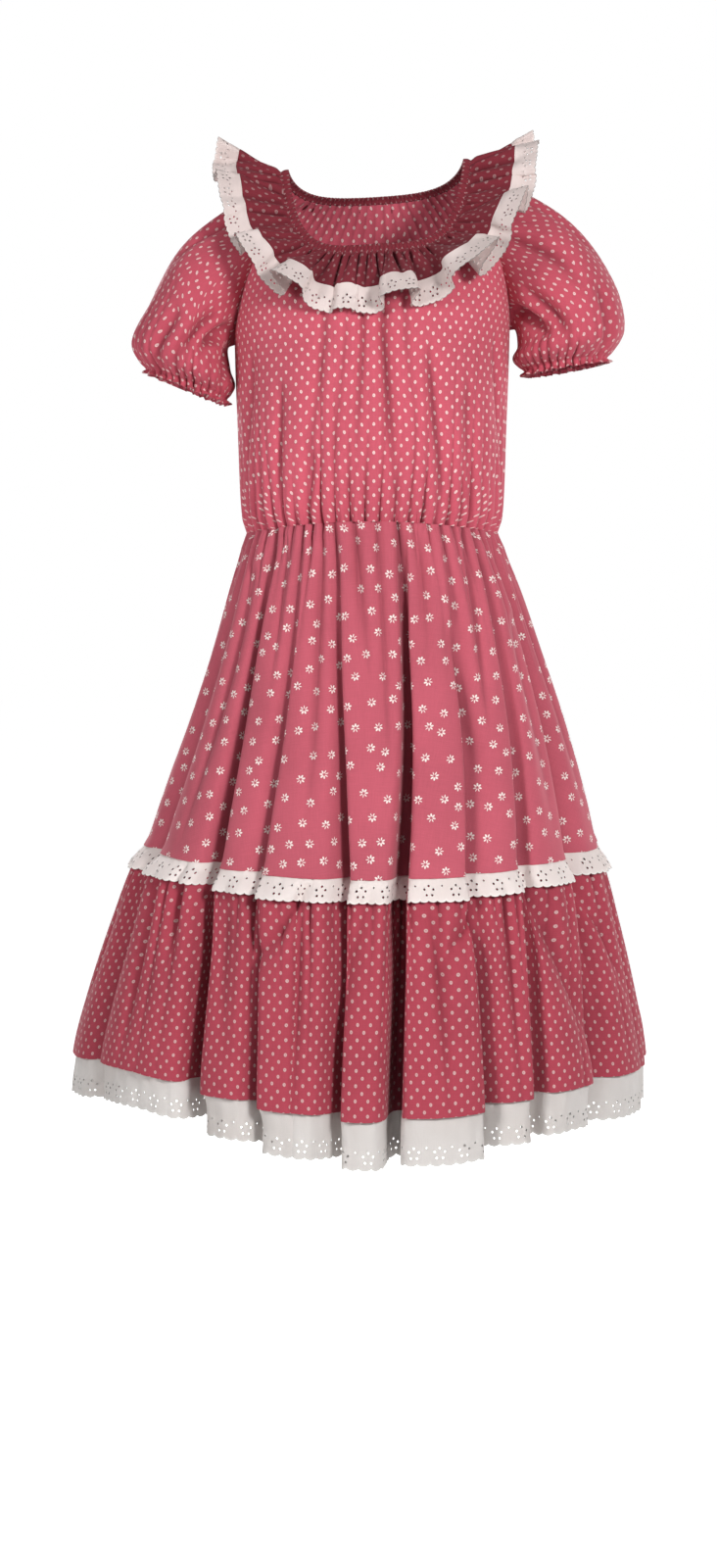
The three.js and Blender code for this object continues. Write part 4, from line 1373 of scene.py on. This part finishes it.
# %% [markdown]
# Plain weave: warp threads run down and weft threads run across, one over and one under. Real
# thread is uneven, so soft streaks along both directions change the height and the shade.

# %% The weave as a node group
STREAKS = ((900, 60, 1), (60, 900, 1))
CROSSING_HEIGHT = 0.3


def weave_group():
    place, thread = start_group("plain_weave", Thread=0.0006)
    warp, weft = ((part / thread * math.pi).math("SINE") for part in place.parts()[:2])
    across, along = ((place * streak).noise(1.0) for streak in STREAKS)
    slub = across + along
    return end_group(Height=(warp * weft * CROSSING_HEIGHT + slub) * 0.5, Shade=slub - 1.0)


# %% [markdown]
# The dotted print: small off-white rings with a rose middle, in staggered rows. A thin painted
# shadow lies next to each ring, on one side. Two lattices, one shifted by half a repeat, make the
# stagger. Each size is the pair of distances, in metres, between which an edge turns.

# %% The dots as a node group
DOT_REPEAT = (0.0130, 0.0150, 1.0)
DOT_LATTICES = ((0.5, 0.5, 0.5), (0.0, 0.0, 0.5))
DOT_OVAL = (1.14, 0.9, 0.0)
DOT_EDGE = (0.00145, 0.00195)
DOT_MIDDLE = (0.00035, 0.0008)
DOT_MIDDLE_SHARE = 0.55
DOT_SHADE_EDGE = (0.0015, 0.0020)
DOT_SHADE_AWAY = (0.0005, 0.0004, 0)


def dots_group():
    place, repeat = start_group("ring_dots", Repeat=DOT_REPEAT)

    def nearest(place):
        """Distance to the nearest dot of either lattice."""
        cells = ((place / repeat + start).math("FRACTION") - (0.5, 0.5, 0.5) for start in DOT_LATTICES)
        first, second = ((cell * repeat * DOT_OVAL).length() for cell in cells)
        return first.math("MINIMUM", second)

    distance = nearest(place)
    dot = distance.inside(*DOT_EDGE)
    # A painted shadow next to each dot, on one side.
    beside = nearest(place + DOT_SHADE_AWAY).inside(*DOT_SHADE_EDGE)
    faded = distance.inside(*DOT_MIDDLE) * -DOT_MIDDLE_SHARE + 1.0
    return end_group(Motif=dot * faded, Shade=beside - dot)


# %% [markdown]
# The sprigged print: tiny flowers thrown over the cloth, each turned its own way. The cloth is
# divided in staggered cells, and white noise, which is the same in each run, gives each cell the
# turn and the place of its flower. Seven petals stand round it, large at one end and thin at the
# other. Their sizes are in metres, and a petal's rim is told in shares of its size.

# %% The sprigs as a node group
SPRIG_REPEAT = 0.0235
SPRIG_WANDER = 0.5
LUCK_LAYER = 3.0
PETALS = 7
PETAL_AWAY = {"thin": 0.0029, "large": 0.0002}
PETAL_HALF_WIDE = {"thin": 0.0005, "large": 0.0006}
PETAL_HALF_LONG = 0.0019
PETAL_EDGE = (0.75, 1.1)
PETAL_RIM = (1.1, 1.5)
RIM_SHADE = 0.35
HEART_EDGE = (0.0002, 0.0007)


def sprigs_group():
    place, repeat = start_group("thrown_sprigs", Repeat=SPRIG_REPEAT)
    across, up, _ = (part / repeat for part in place.parts())
    row = up.math("FLOOR")
    across = across + row.math("MODULO", 2.0) * 0.5
    column = across.math("FLOOR")
    cell = {"Vector": join(column, row, LUCK_LAYER)}
    luck = add_node(place.tree, "ShaderNodeTexWhiteNoise", cell, noise_dimensions="3D")
    lucky = Value(luck, "Color").parts()
    x = (across - column - 0.5 - (lucky[0] - 0.5) * SPRIG_WANDER) * repeat
    y = (up - row - 0.5 - (lucky[1] - 0.5) * SPRIG_WANDER) * repeat
    radius = join(x, y).length()
    angle = y.math("ARCTAN2", x) + lucky[2] * (2 * math.pi)
    large = angle.math("COSINE") * 0.5 + 0.5
    petal_turn = 2 * math.pi / PETALS
    within = angle - ((angle / petal_turn).math("FLOOR") + 0.5) * petal_turn
    away = radius * within.math("COSINE") - (large * PETAL_AWAY["large"] + PETAL_AWAY["thin"])
    half_wide = large * PETAL_HALF_WIDE["large"] + PETAL_HALF_WIDE["thin"]
    size = join(away / PETAL_HALF_LONG, radius * within.math("SINE") / half_wide).length()
    petal = size.inside(*PETAL_EDGE)
    rim = (size.inside(*PETAL_RIM) - petal) * RIM_SHADE
    return end_group(Motif=petal, Shade=rim.math("MAXIMUM", radius.inside(*HEART_EDGE)))


# %% [markdown]
# Worn and washed cotton is never one even tone. Soft clouds change it a little over a hand's width,
# and small puckers raise it all over.

# %% Tone and puckers as a node group
CLOUDS = {"scale": 9.0, "detail": 3.0}
CLOUD_EDGE = (0.3, 0.7)
PUCKER_SCALE = 95.0
PUCKER_STRETCH = (1.0, 0.45, 1.0)


def washed_group():
    (place,) = start_group("washed_cloth")
    tone = place.noise(**CLOUDS).mask(*CLOUD_EDGE)
    return end_group(Tone=tone, Pucker=(place * PUCKER_STRETCH).noise(PUCKER_SCALE))


WEAVE, DOTS, SPRIGS, WASHED = weave_group(), dots_group(), sprigs_group(), washed_group()

# %% [markdown]
# A cotton finish is the dyed ground, the print on it, and the cloth's own relief. Cotton scatters
# light widely, so it is rough, with a faint sheen where it turns away. The gathered, free hanging
# and puffed copies of the dotted cotton get painted shade: the finish's depth is the share of
# light left in their colour, and a painted red glow makes them redder. The folds' floors get
# more painted shade, by how deep each point lies in a fold.

# %% Helpers for the finishes
ROSE = {"dotted": (0.52, 0.085, 0.125), "sprigged": (0.50, 0.10, 0.14)}
OFF_WHITE = {"dotted": (0.76, 0.56, 0.54), "sprigged": (0.88, 0.78, 0.74)}
PRINT_DARK_AND_DOT_SHADOW = (0.22, 0.05, 0.06, 1)
LACE_TONES = ((0.80, 0.735, 0.70), (0.87, 0.82, 0.79), (0.93, 0.90, 0.86))
SHEEN_ROUGHNESS = 0.5
SPECULAR = 0.25
WEAVE_ROUGHNESS = 0.1


def toned(colour, share):
    """A darker or lighter tone of a colour, with its full opacity."""
    return tuple(min(1.0, part) for part in np.multiply(colour[:3], share)) + (1,)


def start_finish(name, roughness, sheen):
    material = bpy.data.materials.new(name)
    material.use_nodes = True
    shader = material.node_tree.nodes["Principled BSDF"]
    shader.inputs["Roughness"].default_value = roughness
    shader.inputs["Sheen Weight"].default_value = sheen
    shader.inputs["Sheen Roughness"].default_value = SHEEN_ROUGHNESS
    shader.inputs["Specular IOR Level"].default_value = SPECULAR
    return material, material.node_tree, shader


def use_group(tree, group, **inputs):
    """A group at work in a material, and its outputs by their names."""
    node = add_node(tree, "ShaderNodeGroup", inputs, node_tree=group)
    return {socket.name: Value(node, socket.name) for socket in node.outputs}


def set_surface(tree, shader, colour, smoothest, weave, reliefs):
    """Links a shader's colour, its roughness, and bumps from the widest to the finest."""
    links = {"Base Color": colour, "Roughness": weave["Height"] * WEAVE_ROUGHNESS + smoothest}
    below = {}
    for strength, distance, height in reliefs:
        bump = {"Strength": strength, "Distance": distance, "Height": height, **below}
        below = {"Normal": Value(add_node(tree, "ShaderNodeBump", bump))}
    for name, value in {**links, **below}.items():
        tree.links.new(value.socket, shader.inputs[name])


# %% The cotton finishes
COTTON_THREAD = 0.0005
COTTON_ROUGHNESS = {"mean": 0.86, "least": 0.8}
SHEEN = 0.12
PAINTED_GLOW_REDDER = 0.4
FADED = 0.86
STREAK_TONE = 1.5
STREAK_SHARE = {"mean": 0.15, "change": 0.35}
PRINT_DARK_AND_DOT_SHADOW_SHARE = 0.6
PRINT_IN_FULL_PAINTED_SHADE = {"tone": 0.35, "share": 0.2}
FOLD_PAINTED_SHADE_TONE = 0.2
FOLD_PAINTED_SHADE_SHARE = 0.7
COTTON_RELIEF = {"pucker": (0.25, 0.0012), "weave": (0.35, 0.0002)}


def cotton(name, kind, depth, print_group):
    material, tree, shader = start_finish(name, COTTON_ROUGHNESS["mean"], SHEEN * depth)
    flat = Value(add_node(tree, "ShaderNodeUVMap", uv_map="UVMap"), 0, True)
    weave = use_group(tree, WEAVE, Vector=flat, Thread=COTTON_THREAD)
    washed = use_group(tree, WASHED, Vector=flat)
    pattern = use_group(tree, print_group, Vector=flat)
    red = ROSE[kind][0]
    # Below a depth of 1 the ground gets painted shade, and a painted red glow makes it redder.
    painted_glow_redder = 1 + PAINTED_GLOW_REDDER * (1 - depth)
    ground = toned([red * (part / red) ** painted_glow_redder for part in ROSE[kind]], depth)
    dyed = washed["Tone"].blend(toned(ground, FADED), ground)
    streaks = weave["Shade"] * STREAK_SHARE["change"] + STREAK_SHARE["mean"]
    dyed = streaks.blend(dyed, toned(ground, STREAK_TONE))
    # The sprigs' dark rims and hearts, and the painted shadow next to each dot.
    shaded = (pattern["Shade"] * PRINT_DARK_AND_DOT_SHADOW_SHARE).blend(dyed, PRINT_DARK_AND_DOT_SHADOW)
    # The print gets the same painted shade, darker and fainter at a low depth.
    tone, share = (mix(least, 1, depth) for least in PRINT_IN_FULL_PAINTED_SHADE.values())
    cloth = (pattern["Motif"] * share).blend(shaded, toned(OFF_WHITE[kind], tone))
    # Painted shade on the floors of the folds, darkest where the cloth lies deepest.
    sunk = Value(add_node(tree, "ShaderNodeAttribute", attribute_name="fold_shade_mask"), "Fac")
    colour = (sunk * FOLD_PAINTED_SHADE_SHARE).blend(cloth, toned(ground, FOLD_PAINTED_SHADE_TONE))
    heights = {"pucker": washed["Pucker"], "weave": weave["Height"]}
    reliefs = [(*COTTON_RELIEF[kind], height) for kind, height in heights.items()]
    set_surface(tree, shader, colour, COTTON_ROUGHNESS["least"], weave, reliefs)
    return material


DOTTED = cotton("dotted_cotton_finish", "dotted", depth=1.0, print_group=DOTS)
# Copies of the dotted cotton with painted shade: the neck's casing and ruffle, the tier, the sleeves.
GATHERED_PAINTED_SHADE = cotton("gathered_cotton_painted_shade", "dotted", depth=0.34, print_group=DOTS)
FREE_HANGING_PAINTED_SHADE = cotton("free_hanging_cotton_painted_shade", "dotted", depth=0.68, print_group=DOTS)
PUFFED_PAINTED_SHADE = cotton("puffed_cotton_painted_shade", "dotted", depth=0.88, print_group=DOTS)
SPRIGGED = cotton("sprigged_cotton_finish", "sprigged", depth=0.92, print_group=SPRIGS)

# %% [markdown]
# The lace is thin. Its three lengths are one lace in copies with painted shade, and with a painted
# rose glow, as if the rose cloth behind them shone through. Its oversewn rims are whiter, and a
# painted shade line runs round each hole and along the scalloped edge.

# %% The lace finishes
LACE_THREAD = 0.0006
LACE_ROUGHNESS = {"mean": 0.8, "least": 0.75}
LACE_SHEEN = 0.1
SEWN = (0.0, 0.5)
# Where the painted shade line lies, at the edges of the holes and the scallops.
LACE_EDGE_PAINTED_SHADE = (0.72, 1.0)
LACE_EDGE_PAINTED_SHADE_TONE = 0.42
SEWN_HEIGHT = 1.4
LACE_RELIEF = {"pucker": (0.35, 0.0014), "sewn": (0.6, 0.0004)}


def lace_finish(name, depth, glow):
    material, tree, shader = start_finish(name, LACE_ROUGHNESS["mean"], LACE_SHEEN)
    flat = Value(add_node(tree, "ShaderNodeUVMap", uv_map="cut"), 0, True)
    weave = use_group(tree, WEAVE, Vector=flat, Thread=LACE_THREAD)
    washed = use_group(tree, WASHED, Vector=flat)
    stitch = Value(add_node(tree, "ShaderNodeAttribute", attribute_name="stitch"), "Fac")
    # Painted shade by the depth, and a painted rose glow that takes some green and blue away.
    painted_shade_and_glow = (depth, depth * (1 - glow), depth * (1 - glow))
    worn, plain, sewn = (toned(tone, painted_shade_and_glow) for tone in LACE_TONES)
    cloth = stitch.mask(*SEWN).blend(washed["Tone"].blend(worn, plain), sewn)
    # A painted shade line round each hole and along the scalloped edge.
    colour = stitch.mask(*LACE_EDGE_PAINTED_SHADE).blend(cloth, toned(sewn, LACE_EDGE_PAINTED_SHADE_TONE))
    heights = {"pucker": washed["Pucker"], "sewn": stitch * SEWN_HEIGHT + weave["Height"]}
    reliefs = [(*LACE_RELIEF[kind], height) for kind, height in heights.items()]
    set_surface(tree, shader, colour, LACE_ROUGHNESS["least"], weave, reliefs)
    return material


# Copies of one lace, each with its own painted shade and painted rose glow.
EYELET_PAINTED_SHADE = {
    "neck": lace_finish("neck_lace_painted_shade", depth=0.8, glow=0.1),
    "tier": lace_finish("tier_lace_finish", depth=0.88, glow=0.05),
    "hem": lace_finish("hem_lace_finish", depth=0.69, glow=0.0),
}

# %% [markdown]
# Each piece now takes the place of its solid, gets its finish, and rides on the dress's one body.

# %% Give each piece its finish and its place
CASING_CUT = 0.018
BODICES = ["bodice_front", "bodice_back"]
FINISHES = {"bodice": DOTTED, "sleeve": PUFFED_PAINTED_SHADE, "neck": GATHERED_PAINTED_SHADE}


def finish_piece(piece, node, finish):
    piece.data.materials.clear()
    piece.data.materials.append(finish)
    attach(piece, "root")
    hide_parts(node)


def grid_area(points):
    """Area of a grid of points in square metres."""
    across, down = np.diff(points, axis=1)[:-1], np.diff(points, axis=0)[:, :-1]
    return float(np.linalg.norm(np.cross(across, down), axis=-1).sum()) * MM * MM


for node, (piece, flat, area) in skirt_pieces.items():
    finish_piece(piece, node, SPRIGGED)
for node, (piece, flat) in tier_pieces.items():
    finish_piece(piece, node, FREE_HANGING_PAINTED_SHADE)
for node, (piece, points) in {**bodice_pieces, **sleeve_pieces, **neck_pieces}.items():
    part = node.split("_")[0]
    across, down = lengths(points, 1)[:, -1].max() * MM, lengths(points, 0)[-1].max() * MM
    down = max(down, CASING_CUT)
    area = min(grid_area(points), across * down)
    rests_on = BODICES if part == "neck" else ["neck_casing"]
    finish_piece(piece, node, FINISHES[part])
for node, (piece, flat) in lace_pieces.items():
    place = node.split("_")[0]
    carrier = "neck_ruffle" if place == "neck" else "skirt_front"
    finish_piece(piece, node, EYELET_PAINTED_SHADE[place])

# %% [markdown]
# The dress hangs above a plain pale floor in a bright white room. Two lamps light its front, two
# light its back, and a weak one hangs above. They are small enough for each fold to show.

# %% Stage, light and camera
FLOOR_DOWN = 1.46
FLOOR_WIDTH = 40
FLOOR_GLOW = 0.9
FLOOR_ROUGHNESS = 0.9
PALE = (0.9, 0.9, 0.9, 1)
WHITE = (1, 1, 1, 1)
ROOM = {"camera": 1.0, "light": 0.11}
LAMPS = {
    "key_lamp": ((1.35, -2.3, 0.3), (0, 0, -0.35), 0.6, 56),
    "fill_lamp": ((-2.1, -2.2, 0.1), (0, 0, -0.35), 0.8, 42),
    "back_key_lamp": ((-1.3, 2.4, 0.3), (0, 0, -0.5), 0.8, 52),
    "back_fill_lamp": ((2.1, 1.9, 0.0), (0, 0, -0.5), 1.0, 34),
    "top_lamp": ((0.2, -0.4, 2.2), (0, 0, -0.5), 1.4, 10),
}


def make_floor():
    bpy.ops.object.select_all(action="DESELECT")
    bpy.ops.mesh.primitive_plane_add(size=FLOOR_WIDTH, location=(0, 0, -FLOOR_DOWN))
    floor = bpy.context.object
    floor.name = "studio_floor"
    bpy.ops.object.transform_apply(location=True, rotation=True, scale=True)
    pale, tree, shader = start_finish("pale_floor", FLOOR_ROUGHNESS, 0)
    shader.inputs["Base Color"].default_value = PALE
    seen = Value(add_node(tree, "ShaderNodeLightPath"), "Is Camera Ray")
    tree.links.new((seen * FLOOR_GLOW).socket, shader.inputs["Emission Strength"])
    shader.inputs["Emission Color"].default_value = WHITE
    floor.data.materials.append(pale)


def look_at(place, target):
    return (Vector(target) - Vector(place)).to_track_quat("-Z", "Y").to_euler()


def add_lamp(name, place, target, size, power):
    bpy.ops.object.select_all(action="DESELECT")
    bpy.ops.object.light_add(type="AREA", location=place)
    lamp = bpy.context.object
    lamp.name = name
    lamp.data.size = size
    lamp.data.energy = power
    lamp.rotation_euler = look_at(place, target)


def make_room(for_camera, for_light):
    """A white room that looks brighter to the camera than the light it sheds."""
    world = bpy.context.scene.world or bpy.data.worlds.new("studio")
    bpy.context.scene.world = world
    world.use_nodes = True
    tree = world.node_tree
    room = tree.nodes["Background"]
    room.inputs["Color"].default_value = WHITE
    seen = Value(add_node(tree, "ShaderNodeLightPath"), "Is Camera Ray")
    strength = seen * (for_camera - for_light) + for_light
    tree.links.new(strength.socket, room.inputs["Strength"])


make_floor()
for name, lamp in LAMPS.items():
    add_lamp(name, *lamp)
make_room(ROOM["camera"], ROOM["light"])
bpy.context.scene.view_settings.view_transform = "Standard"

CAMERA = (0, -3.2, -0.432)
AIM = (-0.015, 0, -0.6625)
FRAME_HEIGHT = 1.728
SENSOR = 36
bpy.ops.object.select_all(action="DESELECT")
bpy.ops.object.camera_add(location=CAMERA)
camera = bpy.context.object
camera.data.sensor_width = SENSOR
camera.data.lens = SENSOR * -CAMERA[1] / FRAME_HEIGHT
camera.rotation_euler = look_at(CAMERA, AIM)
bpy.context.scene.camera = camera
